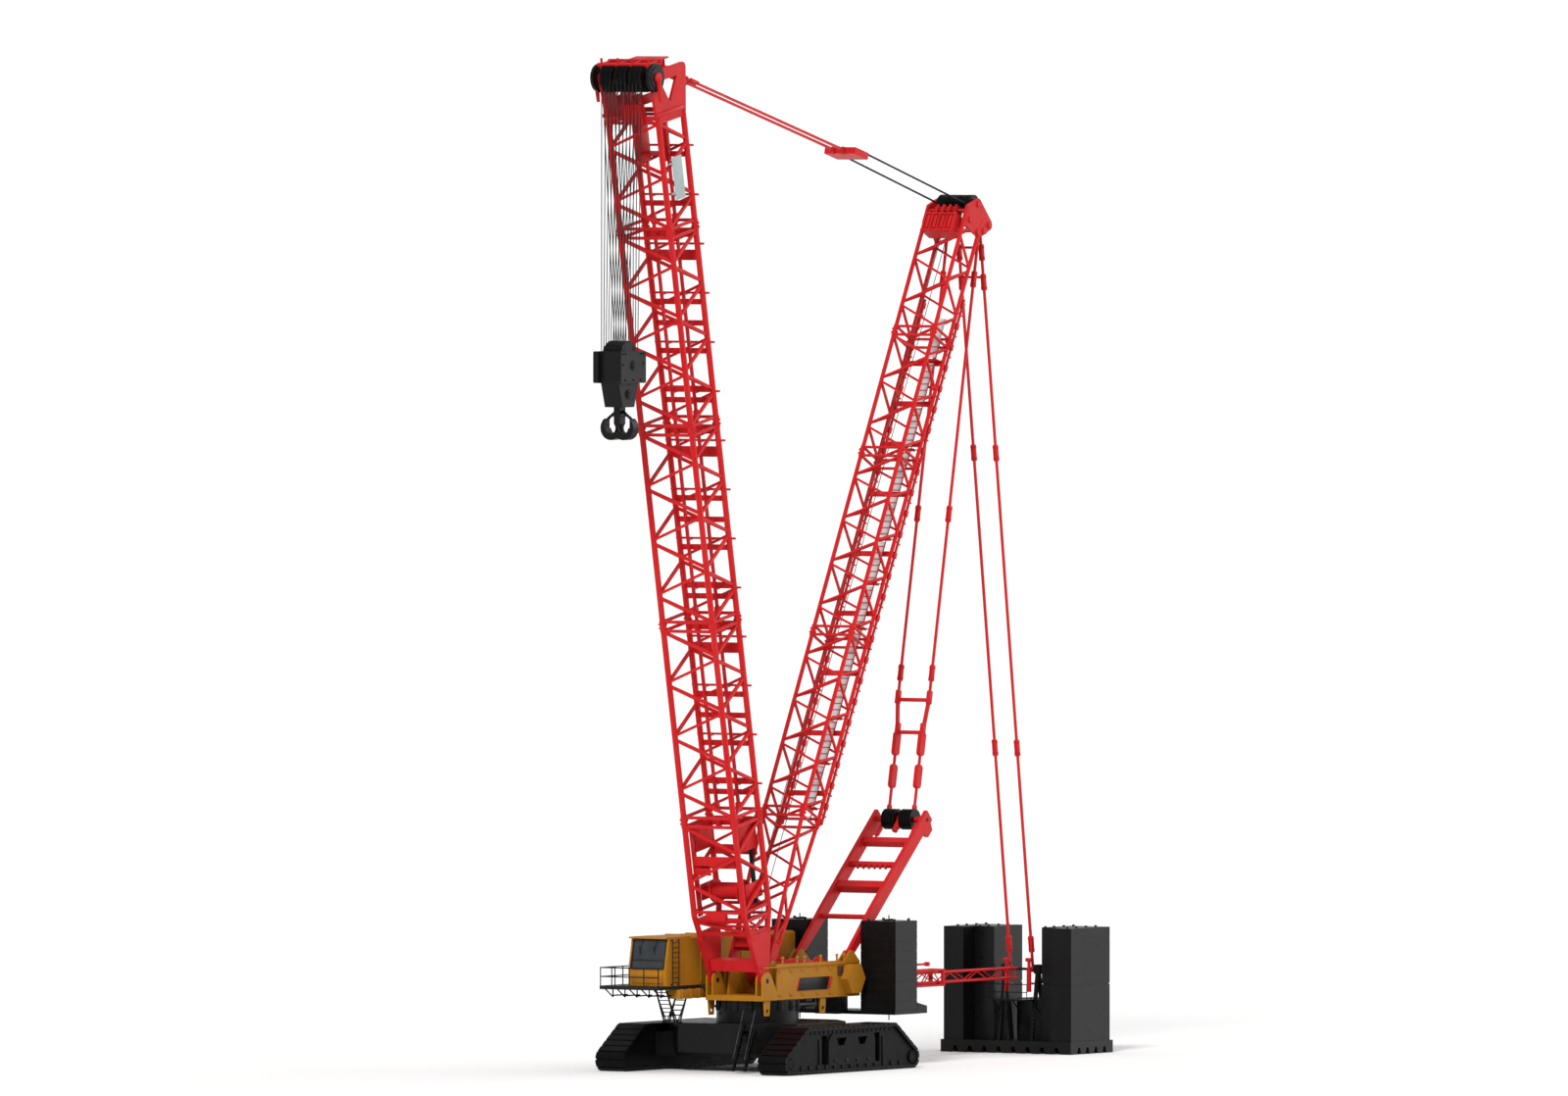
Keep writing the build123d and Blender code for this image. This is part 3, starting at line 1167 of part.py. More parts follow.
# A-frame: two box legs with cross beams and the sheaves of its head
def aframe_leg(y):
    """Box leg with its foot eye, in the A-frame's local XZ plane."""
    with BuildPart() as leg:
        with BuildSketch(Plane.XZ.offset(-y)):
            Circle(2 * AFRAME_PIN)
            with Locations((0, AFRAME_LENGTH * AFRAME_TAPER), (0, AFRAME_LENGTH)):
                Rectangle(AFRAME_LEG_DEPTH, AFRAME_LEG_DEPTH)
            make_hull()
            lobe_edge = AFRAME_LENGTH - AFRAME_LOBE_LENGTH / 2
            Polygon(
                (0, lobe_edge + AFRAME_LOBE_LENGTH),
                (-AFRAME_LEG_DEPTH / 2 - AFRAME_LOBE, lobe_edge + AFRAME_LOBE_LENGTH / 2),
                (-AFRAME_LEG_DEPTH / 2 - AFRAME_LOBE, lobe_edge - AFRAME_LOBE_LENGTH / 2),
                (0, lobe_edge - AFRAME_LOBE_LENGTH),
                align=None,
            )
            Circle(AFRAME_PIN + SEAT_GAP, mode=Mode.SUBTRACT)
        extrude(amount=AFRAME_LEG / 2, both=True)
    return leg.part


aframe_bars = [aframe_leg(boom_y), aframe_leg(-boom_y)]
for share, size, sides in AFRAME_BEAMS:
    along = AFRAME_LENGTH * share
    aframe_bars.append(prism((0, -boom_y, along), (0, boom_y, along), size, sides))
with BuildPart() as a_frame:
    add(placed(aframe_bars, aframe_frame))
    add(
        prism(
            (aframe_head.X, -boom_y, aframe_head.Z),
            (aframe_head.X, boom_y, aframe_head.Z),
            SHEAVE_AXLE,
            ROUND_SIDES,
        )
    )
save(a_frame, "a_frame")

with BuildPart() as a_frame_sheaves:
    for s in (1, -1):
        middle = s * AFRAME_SHEAVE_Y
        low, high = middle - AFRAME_SHEAVE_WIDTH / 2, middle + AFRAME_SHEAVE_WIDTH / 2
        add(sheave(aframe_head.X, aframe_head.Z, low, high, AFRAME_SHEAVE, SHEAVE_AXLE))
save(a_frame_sheaves, "a_frame_sheaves")

# Mast stay from the mast head down to the A-frame head
mast_stay_dir = (aframe_head - mast_stay_pin).normalized()
mast_stay_end = aframe_head - mast_stay_dir * (AFRAME_SHEAVE + STAY_EYE + SIDE_GAP)
upper_bar = mast_stay_end - mast_stay_dir * SPREADER_UPPER
lower_bar = mast_stay_end - mast_stay_dir * SPREADER_LOWER
stay_lean = degrees(atan2(mast_stay_dir.Z, mast_stay_dir.X))
upper_reach = Vector(0, MAST_STAY_HALF, 0)
lower_reach = Vector(0, MAST_STAY_FOOT_HALF, 0)


def equalizers(y):
    """Thick link plates on the foot of one strand of the mast stay."""
    with BuildPart() as plates:
        for up in EQUALIZERS:
            middle = mast_stay_end - mast_stay_dir * up
            with BuildSketch(Plane.XZ.offset(-y)) as outline:
                with Locations((middle.X, middle.Z)):
                    Rectangle(EQUALIZER_LENGTH, EQUALIZER_WIDTH, rotation=stay_lean)
                chamfer(outline.vertices(), EQUALIZER_CORNER)
            extrude(amount=EQUALIZER_THICKNESS / 2, both=True)
    return plates.part


with BuildPart() as mast_stay:
    strands = [
        prism(upper_bar - upper_reach, upper_bar + upper_reach, 2 * STAY_BAR, 4),
        prism(lower_bar - lower_reach, lower_bar + lower_reach, 2 * STAY_BAR, 4),
    ]
    for s in (1, -1):
        strands.append(link(mast_stay_pin, upper_bar, s * MAST_STAY_HALF))
        strands.append(prism(upper_bar + upper_reach * s, lower_bar + lower_reach * s, 2 * STAY_BAR, 4))
        strands.append(link(lower_bar, mast_stay_end, s * MAST_STAY_FOOT_HALF))
        strands.append(equalizers(s * MAST_STAY_FOOT_HALF))
    add(strands)
save(mast_stay, "mast_stay")

# Superlift ballast on its tray, with the trestle that the stays pull on
trestle_top = TRAY_THICKNESS + TRESTLE_HEIGHT
trestle_x = TRAY_X + TRESTLE_SPREAD / 3
with BuildPart() as superlift_tray:
    with BuildSketch(Plane.XY):
        with Locations((TRAY_X, 0)):
            Rectangle(TRAY_LENGTH, TRAY_WIDTH)
    extrude(amount=TRAY_THICKNESS)
    with BuildSketch(Plane.YZ.offset(TRAY_X - TRAY_LENGTH / 2)):
        with Locations((0, TRAY_GAP_HEIGHT / 2)):
            with GridLocations(TRAY_WIDTH / TRAY_FEET_ACROSS, 0, TRAY_FEET_ACROSS - 1, 1):
                Trapezoid(TRAY_GAP, TRAY_GAP_HEIGHT, TRAY_GAP_SLOPE)
    extrude(amount=TRAY_LENGTH, mode=Mode.SUBTRACT)
    with BuildSketch(Plane.XZ.offset(-TRAY_WIDTH / 2)):
        with Locations((TRAY_X, TRAY_GAP_HEIGHT / 2)):
            with GridLocations(TRAY_LENGTH / TRAY_FEET_ALONG, 0, TRAY_FEET_ALONG - 1, 1):
                Trapezoid(TRAY_GAP, TRAY_GAP_HEIGHT, TRAY_GAP_SLOPE)
    extrude(amount=TRAY_WIDTH, mode=Mode.SUBTRACT)
save(superlift_tray, "superlift_tray")

for side, sign in (("left", 1), ("right", -1)):
    with BuildPart() as stack:
        column = (STACK_WIDTH - STACK_GROOVE) / 2
        for k in range(2):
            y = sign * (STACK_INNER + column / 2 + k * (column + STACK_GROOVE))
            length = STACK_LENGTH - (1 - k) * STACK_STEP
            with BuildSketch(Plane.XY.offset(TRAY_THICKNESS)):
                with Locations((TRAY_X - STACK_LENGTH / 2 + length / 2, y)):
                    Rectangle(length, column)
            extrude(amount=STACK_HEIGHT)
            with BuildSketch(Plane.XY.offset(TRAY_THICKNESS + (STACK_HEIGHT - STACK_GROOVE) / 2)):
                with Locations((TRAY_X - STACK_LENGTH / 2 + length / 2, y)):
                    Rectangle(length, column)
                    Rectangle(length - 2 * STACK_GROOVE, column - 2 * STACK_GROOVE, mode=Mode.SUBTRACT)
            extrude(amount=STACK_GROOVE, mode=Mode.SUBTRACT)
    save(stack, f"superlift_{side}_stack")

with BuildPart() as middle_stack:
    with BuildSketch(Plane.XY.offset(TRAY_THICKNESS)):
        with Locations((TRAY_X - TRAY_LENGTH / 2 + MIDDLE_LENGTH / 2 + TRESTLE_BAR, 0)):
            Rectangle(MIDDLE_LENGTH, MIDDLE_WIDTH)
    extrude(amount=MIDDLE_HEIGHT)
save(middle_stack, "superlift_middle_stack")

trestle_y = SUPERLIFT_STAY_HALF + 2 * STAY_EYE
trestle_bars = []
for y in (-trestle_y, trestle_y):
    for foot in (-TRESTLE_SPREAD / 2, TRESTLE_SPREAD / 2):
        start = (trestle_x + foot, y, 0)
        trestle_bars.append(prism(start, (trestle_x, y, trestle_top), TRESTLE_BAR, 4, (0, 1, 0)))
    low = (trestle_x, y, trestle_top - 4 * TRESTLE_BAR)
    trestle_bars.append(prism(low, (trestle_x, y, trestle_top), 2 * TRESTLE_BAR, 4, (1, 0, 0)))
pin_z = trestle_top - 2 * TRESTLE_BAR
pin_ends = [(trestle_x, y, pin_z) for y in (-trestle_y, trestle_y)]
trestle_bars.append(prism(*pin_ends, STAY_PIN, ROUND_SIDES))
with BuildPart() as trestle:
    add(trestle_bars)
    split(bisect_by=Plane.XY.offset(TRAY_THICKNESS), keep=Keep.TOP)
save(trestle, "superlift_trestle")

stay_foot = Vector(trestle_x, 0, pin_z)
with BuildPart() as superlift_pendants:
    strands = [link(superlift_pin, stay_foot, s * SUPERLIFT_STAY_HALF) for s in (1, -1)]
    add(strands)
    for s in (1, -1):
        add(
            round_bar(
                (stay_foot.X, s * SUPERLIFT_STAY_HALF - 2 * STAY_BAR, stay_foot.Z),
                (stay_foot.X, s * SUPERLIFT_STAY_HALF + 2 * STAY_BAR, stay_foot.Z),
                STAY_PIN + SEAT_GAP,
            ),
            mode=Mode.SUBTRACT,
        )
save(superlift_pendants, "superlift_pendants")

# Telescopic strut between the platform and the superlift tray
strut_frame = Plane(origin=(STRUT_PIVOT_X, 0, STRUT_Z), x_dir=(0, 0, 1), z_dir=(-1, 0, 0))
strut_end = trestle_x + TRESTLE_SPREAD / 2 + TRESTLE_BAR
strut_length = STRUT_PIVOT_X - strut_end
outer_box = (STRUT_OUTER_HALF, STRUT_OUTER_HALF)
inner_box = (STRUT_INNER_HALF, STRUT_INNER_HALF)
with BuildPart() as strut_outer:
    pieces = lattice(
        STRUT_OUTER - STRUT_EYE, outer_box, outer_box, STRUT_CHORD, STRUT_BRACE, STRUT_PANELS, END_FRAME
    )
    add(placed(pieces, strut_frame, STRUT_EYE))
    strut_tip = STRUT_OUTER_HALF + STRUT_CHORD
    feet = []
    for s in (1, -1):
        feet.append(eye(STRUT_EYE, STRUT_CHORD, STRUT_PIN, s * STRUT_OUTER_HALF, 2 * STRUT_EYE, strut_tip))
    add(placed(feet, strut_frame))
    guide = STRUT_INNER_HALF + STRUT_CHORD * cos(radians(22.5)) + SEAT_GAP
    with BuildSketch(strut_frame.offset(STRUT_OUTER - STRUT_GUIDE)):
        Rectangle(2 * (STRUT_OUTER_HALF + STRUT_CHORD), 2 * (STRUT_OUTER_HALF + STRUT_CHORD))
        Rectangle(2 * guide, 2 * guide, mode=Mode.SUBTRACT)
    extrude(amount=STRUT_GUIDE)
save(strut_outer, "strut_outer")

inner_start = STRUT_OUTER - STRUT_OVERLAP
with BuildPart() as strut_inner:
    pieces = lattice(
        strut_length - inner_start, inner_box, inner_box, STRUT_CHORD, STRUT_BRACE, STRUT_PANELS, END_FRAME
    )
    add(placed(pieces, strut_frame, inner_start))
save(strut_inner, "strut_inner")
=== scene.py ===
# %% [markdown]
# A crawler crane with a superlift mast, dressed in Blender around its CAD frame.
# The CAD nodes carry the main shapes: lattices, girders, tracks and ballast. They could be modelled again
# here, but copies might drift from the solids that move and collide. So the lesson keeps them, gives them
# paint, steel and glass, and adds what is too small for the solids: ropes, pin heads, bolts, rails and
# plates.

# %% Load the frame
import json
from math import cos, pi, radians, sin

import bmesh
import bpy
from mathutils import Matrix, Vector


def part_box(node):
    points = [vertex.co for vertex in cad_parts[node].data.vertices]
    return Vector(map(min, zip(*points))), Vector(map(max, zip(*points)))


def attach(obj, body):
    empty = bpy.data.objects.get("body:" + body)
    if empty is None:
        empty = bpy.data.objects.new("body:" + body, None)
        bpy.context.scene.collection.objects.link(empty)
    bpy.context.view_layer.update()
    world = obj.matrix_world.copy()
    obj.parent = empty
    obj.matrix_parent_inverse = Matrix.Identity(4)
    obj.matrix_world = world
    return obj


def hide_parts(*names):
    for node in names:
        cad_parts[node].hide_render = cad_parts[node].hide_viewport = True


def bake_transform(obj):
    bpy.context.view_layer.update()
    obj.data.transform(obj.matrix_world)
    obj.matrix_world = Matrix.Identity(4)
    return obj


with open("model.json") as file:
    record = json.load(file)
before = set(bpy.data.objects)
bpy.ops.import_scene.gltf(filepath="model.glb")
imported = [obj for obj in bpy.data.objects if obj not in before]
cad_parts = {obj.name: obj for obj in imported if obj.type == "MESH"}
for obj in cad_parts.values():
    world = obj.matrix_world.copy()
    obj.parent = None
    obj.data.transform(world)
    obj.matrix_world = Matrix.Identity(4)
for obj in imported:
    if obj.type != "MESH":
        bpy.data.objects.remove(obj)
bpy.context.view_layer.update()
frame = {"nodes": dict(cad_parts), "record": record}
print("CAD nodes:", len(frame["nodes"]))

# %% [markdown]
# The photograph looks at the crane from its front left, nearly level, and upright lines stay parallel in
# it: the viewer is far away. An orthographic camera would be just as flat, but a lens keeps the last
# trace of perspective, so an ordinary camera with a very long lens stands eight hundred metres away.

# %% Camera


def direction(azimuth, elevation):
    """Unit vector from the crane towards a camera or a lamp, from two angles in degrees."""
    a, e = radians(azimuth), radians(elevation)
    return Vector((sin(a) * cos(e), -cos(a) * cos(e), sin(e)))


def looking_back(away):
    """Rotation of a camera or a lamp that stands in this direction and faces the crane."""
    return (-away).to_track_quat("-Z", "Y").to_euler()


VIEW_AZIMUTH, VIEW_ELEVATION = 123, 1.3
VIEW_DISTANCE = 800
VIEW_WIDTH = 47.06
SENSOR_WIDTH = 36
LOOK_AT = Vector((-0.433, 0.666, 15.65))
view = direction(VIEW_AZIMUTH, VIEW_ELEVATION)
camera_data = bpy.data.cameras.new("long_lens")
camera_data.sensor_width = SENSOR_WIDTH
camera_data.lens = SENSOR_WIDTH * VIEW_DISTANCE / VIEW_WIDTH
camera_data.clip_end = VIEW_DISTANCE * 10
camera = bpy.data.objects.new("long_lens", camera_data)
camera.location = LOOK_AT + view * VIEW_DISTANCE
camera.rotation_euler = looking_back(view)
bpy.context.scene.collection.objects.link(camera)
bpy.context.scene.camera = camera
print("lens:", round(camera_data.lens), "mm")

# %% [markdown]
# The crane stands on a pale floor that also fills the background. A flat plane would end in a horizon at
# this level view, and an upright backdrop would stand in the way of the views from other sides. So the
# floor is a shallow dish: flat under the crane, and rising by half a degree from there to its far rim.

# %% Floor
FLOOR_FLAT, FLOOR_RADIUS = 150, 4000
FLOOR_SLOPE = 0.0095
FLOOR_SIDES = 96
FLOOR_GAP = 0.003
FLOOR_COLOUR, FLOOR_ROUGHNESS = (0.9, 0.9, 0.895, 1), 0.9
floor_paint = bpy.data.materials.new("floor_paint")
floor_paint.use_nodes = True
floor_shader = floor_paint.node_tree.nodes["Principled BSDF"]
floor_shader.inputs["Base Color"].default_value = FLOOR_COLOUR
floor_shader.inputs["Roughness"].default_value = FLOOR_ROUGHNESS
dish = bmesh.new()
bmesh.ops.create_circle(dish, cap_ends=True, segments=FLOOR_SIDES, radius=FLOOR_FLAT)
rim = bmesh.ops.extrude_edge_only(dish, edges=dish.edges[:])
rim_verts = [part for part in rim["geom"] if isinstance(part, bmesh.types.BMVert)]
widen = FLOOR_RADIUS / FLOOR_FLAT
rise = FLOOR_SLOPE * (FLOOR_RADIUS - FLOOR_FLAT)
bmesh.ops.scale(dish, verts=rim_verts, vec=(widen, widen, 1))
bmesh.ops.translate(dish, verts=rim_verts, vec=(0, 0, rise))
bmesh.ops.translate(dish, verts=dish.verts, vec=(0, 0, -FLOOR_GAP))
bmesh.ops.recalc_face_normals(dish, faces=dish.faces)
floor_data = bpy.data.meshes.new("studio_floor")
dish.to_mesh(floor_data)
dish.free()
floor_data.materials.append(floor_paint)
floor = bpy.data.objects.new("studio_floor", floor_data)
bpy.context.scene.collection.objects.link(floor)
print("floor rises by", round(rise, 1), "m at its rim")

# %% [markdown]
# Studio light is soft and comes from all round, so an even white sky gives most of it. Area lamps would
# have to be huge beside a crane of this size, so two suns do the shaping. A key sun in front lights the
# lattice. A very wide sun low on the left works as a soft box: glossy dark faces that look left reflect
# it and turn grey, while those that look to the front stay black.

# %% Light
SKY_STRENGTH = 0.6


def sun(name, strength, width, azimuth, elevation):
    """Sun lamp whose disc is this many degrees wide."""
    data = bpy.data.lights.new(name, "SUN")
    data.energy = strength
    data.angle = radians(width)
    lamp = bpy.data.objects.new(name, data)
    lamp.rotation_euler = looking_back(direction(azimuth, elevation))
    bpy.context.scene.collection.objects.link(lamp)
    print(name, strength)


sun("key_sun", strength=2.2, width=15, azimuth=108, elevation=36)
sun("soft_box", strength=2.2, width=70, azimuth=237, elevation=10)
world = bpy.data.worlds.new("studio_sky")
bpy.context.scene.world = world
world.use_nodes = True
world.node_tree.nodes["Background"].inputs["Color"].default_value = (1, 1, 1, 1)
world.node_tree.nodes["Background"].inputs["Strength"].default_value = SKY_STRENGTH
bpy.context.scene.view_settings.view_transform = "Standard"

# %% [markdown]
# A crane is painted steel, worn steel, rubber and glass. One flat colour on each would look like a toy,
# and image textures would have to be wrapped round every lattice tube. So each finish is noise on Object
# coordinates, which needs no wrapping and stays in place on its piece. A small class holds the nodes that
# all finishes share.

# %% A finish made of noise
# Places of the two colours and of the result among a mix node's sockets
COLOUR_A, COLOUR_B, COLOUR_RESULT = 6, 7, 2


class Finish:
    """A node material whose Principled shader is fed by noise on Object coordinates."""

    def __init__(self, name, gloss=0.5):
        self.material = bpy.data.materials.new(name)
        self.material.use_nodes = True
        self.nodes = self.material.node_tree.nodes
        self.links = self.material.node_tree.links
        self.shader = self.nodes["Principled BSDF"]
        self.shader.inputs["Specular IOR Level"].default_value = gloss
        self.place = self.nodes.new("ShaderNodeTexCoord").outputs["Object"]

    def noise(self, scale, stretch=(1, 1, 1), detail=4, rough=0.6):
        """Noise of this scale, drawn out along an axis by a smaller number there."""
        mapping = self.nodes.new("ShaderNodeMapping")
        mapping.inputs["Scale"].default_value = stretch
        self.links.new(self.place, mapping.inputs["Vector"])
        made = self.nodes.new("ShaderNodeTexNoise")
        made.inputs["Scale"].default_value = scale
        made.inputs["Detail"].default_value = detail
        made.inputs["Roughness"].default_value = rough
        self.links.new(mapping.outputs["Vector"], made.inputs["Vector"])
        return made.outputs["Fac"]

    def spread(self, value, span, result):
        """The part of a value that lies in a span, spread over a range of results."""
        made = self.nodes.new("ShaderNodeMapRange")
        for socket, number in zip(("From Min", "From Max", "To Min", "To Max"), (*span, *result)):
            made.inputs[socket].default_value = number
        self.links.new(value, made.inputs["Value"])
        return made.outputs["Result"]

    def mix(self, share, first, second):
        """Mix of two colours, each given as a tuple or as another node's output."""
        made = self.nodes.new("ShaderNodeMix")
        made.data_type = "RGBA"
        self.links.new(share, made.inputs["Factor"])
        for socket, colour in ((made.inputs[COLOUR_A], first), (made.inputs[COLOUR_B], second)):
            if isinstance(colour, tuple):
                socket.default_value = (*colour, 1)
            else:
                self.links.new(colour, socket)
        return made.outputs[COLOUR_RESULT]

    def feed(self, socket, value):
        """Link a value to a socket of the shader."""
        self.links.new(value, self.shader.inputs[socket])

    def bump(self, height, distance, strength):
        """Small relief on the surface."""
        made = self.nodes.new("ShaderNodeBump")
        made.inputs["Strength"].default_value = strength
        made.inputs["Distance"].default_value = distance
        self.links.new(height, made.inputs["Height"])
        self.feed("Normal", made.outputs["Normal"])


print("finishes are built from noise, spread, mix and bump")

# %% [markdown]
# Sprayed machine paint is one colour that has faded in slow patches, with rain streaks that run down it
# and a fine orange peel. Worn steel is dusty and has a coarser relief. The cab's panes are dark glass
# with a little haze. Each could be its own node tree, but they differ in a few numbers, so three
# functions make them all.

# %% Paint, worn steel and glass
MID_SPAN = (0.3, 0.7)


def paint(name, colour, faded, grime, rough, gloss=0.09):
    """Sprayed paint with faded patches, rain streaks and orange peel."""
    made = Finish(name, gloss)
    fading = made.spread(made.noise(scale=0.7), span=(0.35, 0.65), result=(0, 1))
    rain = made.noise(scale=1.0, stretch=(5, 5, 0.35), detail=6)
    streaks = made.spread(rain, span=(0.52, 0.75), result=(0, 0.35))
    made.feed("Base Color", made.mix(streaks, made.mix(fading, colour, faded), grime))
    sheen = made.spread(made.noise(scale=3.5), MID_SPAN, result=(rough - 0.08, rough + 0.12))
    made.feed("Roughness", sheen)
    made.bump(made.noise(scale=55, detail=2), distance=0.002, strength=0.06)
    return made.material


def worn_steel(name, colour, dust, rough, gloss=0.12):
    """Blackened steel or plastic under patches of dust."""
    made = Finish(name, gloss)
    dusty = made.spread(made.noise(scale=2.2, detail=6), span=(0.45, 0.7), result=(0, 0.55))
    made.feed("Base Color", made.mix(dusty, colour, dust))
    sheen = made.spread(made.noise(scale=9), MID_SPAN, result=(rough - 0.1, rough + 0.15))
    made.feed("Roughness", sheen)
    made.bump(made.noise(scale=30, detail=5), distance=0.004, strength=0.15)
    return made.material


def cab_pane(name, colour, hazy):
    """Dark glass with a little haze."""
    made = Finish(name)
    haze = made.spread(made.noise(scale=1.3), MID_SPAN, result=(0, 1))
    made.feed("Base Color", made.mix(haze, colour, hazy))
    sheen = made.spread(made.noise(scale=6), MID_SPAN, result=(0.04, 0.12))
    made.feed("Roughness", sheen)
    return made.material


finishes = {"cab_glass": cab_pane("cab_glass", colour=(0.012, 0.016, 0.02), hazy=(0.03, 0.036, 0.042))}
print("finishes:", *finishes)

# %% [markdown]
# The boom, mast and stays are red, the upper works yellow, and carrier and ballast nearly black. The
# colours are kept as plain tables, because they were matched to the photograph while the light was set.

# %% Colours
# Paints: colour, faded colour, grime, roughness, and gloss where it isn't the usual one
PAINTS = {
    "red_paint": ((0.5, 0.009, 0.011), (0.5, 0.016, 0.018), (0.24, 0.016, 0.014), 0.38),
    "yellow_paint": ((0.4, 0.165, 0.008), (0.36, 0.15, 0.012), (0.2, 0.085, 0.015), 0.42),
    "dark_paint": ((0.004, 0.004, 0.0042), (0.006, 0.006, 0.006), (0.009, 0.0085, 0.008), 0.3, 0.14),
    # the frame paint is darker than dark_paint: painted shade for the track frames
    "frame_paint_painted_shade": ((0.003, 0.003, 0.003), (0.004, 0.004, 0.004), (0.006, 0.0056, 0.0052), 0.4, 0.05),
    "grey_paint": ((0.012, 0.012, 0.012), (0.02, 0.02, 0.02), (0.03, 0.028, 0.026), 0.4),
    "plate_silver": ((0.36, 0.42, 0.42), (0.32, 0.37, 0.37), (0.25, 0.27, 0.27), 0.35),
    "grating_grey": ((0.56, 0.56, 0.56), (0.48, 0.48, 0.48), (0.4, 0.38, 0.36), 0.5),
}
# Steels and plastic: colour, dust, roughness, and gloss where it isn't the usual one
STEELS = {
    "track_steel": ((0.0025, 0.0025, 0.0025), (0.006, 0.0056, 0.0052), 0.36, 0.06),
    "sheave_steel": ((0.004, 0.004, 0.004), (0.009, 0.009, 0.0085), 0.34),
    "rope_steel": ((0.012, 0.012, 0.013), (0.03, 0.029, 0.028), 0.45),
    "seat_plastic": ((0.018, 0.018, 0.02), (0.04, 0.04, 0.04), 0.7),
}
finishes.update({name: paint(name, *values) for name, values in PAINTS.items()})
finishes.update({name: worn_steel(name, *values) for name, values in STEELS.items()})
print("finishes:", *finishes)

# %% [markdown]
# The imported record says which finish each CAD node has. The frames inside the tracks lie in deep shade
# and look blacker than the rest of the carrier, so they get a darker paint of their own with less gloss:
# that paint is painted shade.

# %% Paint the CAD nodes
slots = {row["node"]: row["material_slot"] for row in frame["record"]["subparts"]}
for node, solid in frame["nodes"].items():
    # the track frames get the darker paint, which is painted shade
    finish = "frame_paint_painted_shade" if "crawler_frame" in node else slots[node]
    solid.data.materials.clear()
    solid.data.materials.append(finishes[finish])
print("painted nodes:", len(slots))

# %% [markdown]
# Most small parts of a crane are rods, plates and bolts. They could be separate objects with their own
# transforms, but a finished piece has to sit at the origin with its place in its mesh. So these helpers
# add each shape straight to a bmesh, at its place: a rod is a cone with equal radii, and a plate is a
# cube with bevelled edges.

# %% Rods and plates
THIN_BAR, MIDDLE_BAR, THICK_BAR = 0.012, 0.014, 0.018


def rod(mesh, start, end, radius, sides=10, tip=None):
    """Round bar between two points, tapered where a tip radius is given."""
    start, end = Vector(start), Vector(end)
    run = end - start
    place = Matrix.Translation((start + end) / 2) @ run.to_track_quat("Z", "Y").to_matrix().to_4x4()
    bmesh.ops.create_cone(
        mesh, cap_ends=True, segments=sides, radius1=radius, radius2=radius if tip is None else tip,
        depth=run.length, matrix=place,
    )


def cross_bar(mesh, member, x, y_span, z, radius, sides=10):
    """Round bar across a member, along its Y."""
    first, last = y_span
    rod(mesh, member @ Vector((x, first, z)), member @ Vector((x, last, z)), radius, sides)


def long_bar(mesh, member, x, y, z_span, radius, sides=10):
    """Round bar along a member's Z."""
    first, last = z_span
    rod(mesh, member @ Vector((x, y, first)), member @ Vector((x, y, last)), radius, sides)


def plate(mesh, member, centre, size, edge=0.006):
    """Box with bevelled edges, placed in the frame of a member."""
    place = member @ Matrix.Translation(centre) @ Matrix.Diagonal((*size, 1))
    made = bmesh.ops.create_cube(mesh, size=1, matrix=place)
    edges = list({e for v in made["verts"] for e in v.link_edges})
    bmesh.ops.bevel(
        mesh, geom=edges, offset=edge, offset_type="OFFSET", affect="EDGES", segments=2, profile=0.5,
        material=-1,
    )


print("ladder and rail bars:", THIN_BAR, MIDDLE_BAR, THICK_BAR)

# %% [markdown]
# A bmesh becomes a piece in one step that is the same for all: smooth shading with sharp corners, one
# finish, and the body that it rides on. A piece between two bodies is given none here.

# %% Finished pieces
SHARP_ANGLE = radians(35)
BOTH_SIDES = (1, -1)


def piece(name, mesh, finish, body):
    """Object made of a bmesh: smooth where it is round, painted, and riding on its body."""
    data = bpy.data.meshes.new(name)
    mesh.to_mesh(data)
    mesh.free()
    for polygon in data.polygons:
        polygon.use_smooth = True
    data.set_sharp_from_angle(angle=SHARP_ANGLE)
    made = bpy.data.objects.new(name, data)
    data.materials.append(finishes[finish])
    bpy.context.scene.collection.objects.link(made)
    if body is not None:
        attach(made, body)
    print(name, len(data.polygons), "faces")
    return made


def middle(node):
    """Middle of a CAD node's box."""
    low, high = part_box(node)
    return (low + high) / 2


print("boom foot:", [round(c, 3) for c in middle("boom_foot_pin")])

# %% [markdown]
# Boom, mast and A-frame lean, and what is on them is measured along them. Working out each point in the
# upright frame would hide those sizes in sines and cosines, so each member gets a matrix of its own. Its
# Z runs up the member, and its X points to the front side of the boom and to the upper side of mast and
# A-frame.

# %% Frames of the leaning members


def lean_frame(origin, angle):
    """Frame whose Z leans at this angle above the X axis."""
    return Matrix.Translation(origin) @ Matrix.Rotation(pi / 2 - radians(angle), 4, "Y")


BOOM_ANGLE, MAST_ANGLE, AFRAME_ANGLE = 78.9, 63.1, 42.6
MAST_FOOT = (0.4, 0, 3.12)
AFRAME_FOOT = (-3.64, 0, 3.33)
WORLD = Matrix.Identity(4)
BOOM = lean_frame(middle("boom_foot_pin"), BOOM_ANGLE)
MAST = lean_frame(MAST_FOOT, 180 - MAST_ANGLE)
AFRAME = lean_frame(AFRAME_FOOT, 180 - AFRAME_ANGLE)

BOOM_DEPTH, BOOM_SIDE, BOOM_CHORD = 0.687, 0.889, 0.106
BOOM_BUTT, BOOM_INSERT, BOOM_HEAD = 5, 6, 3.5
BOOM_JOINTS = [BOOM_BUTT + BOOM_INSERT * k for k in range(4)]
BOOM_LENGTH = BOOM_JOINTS[-1] + BOOM_HEAD

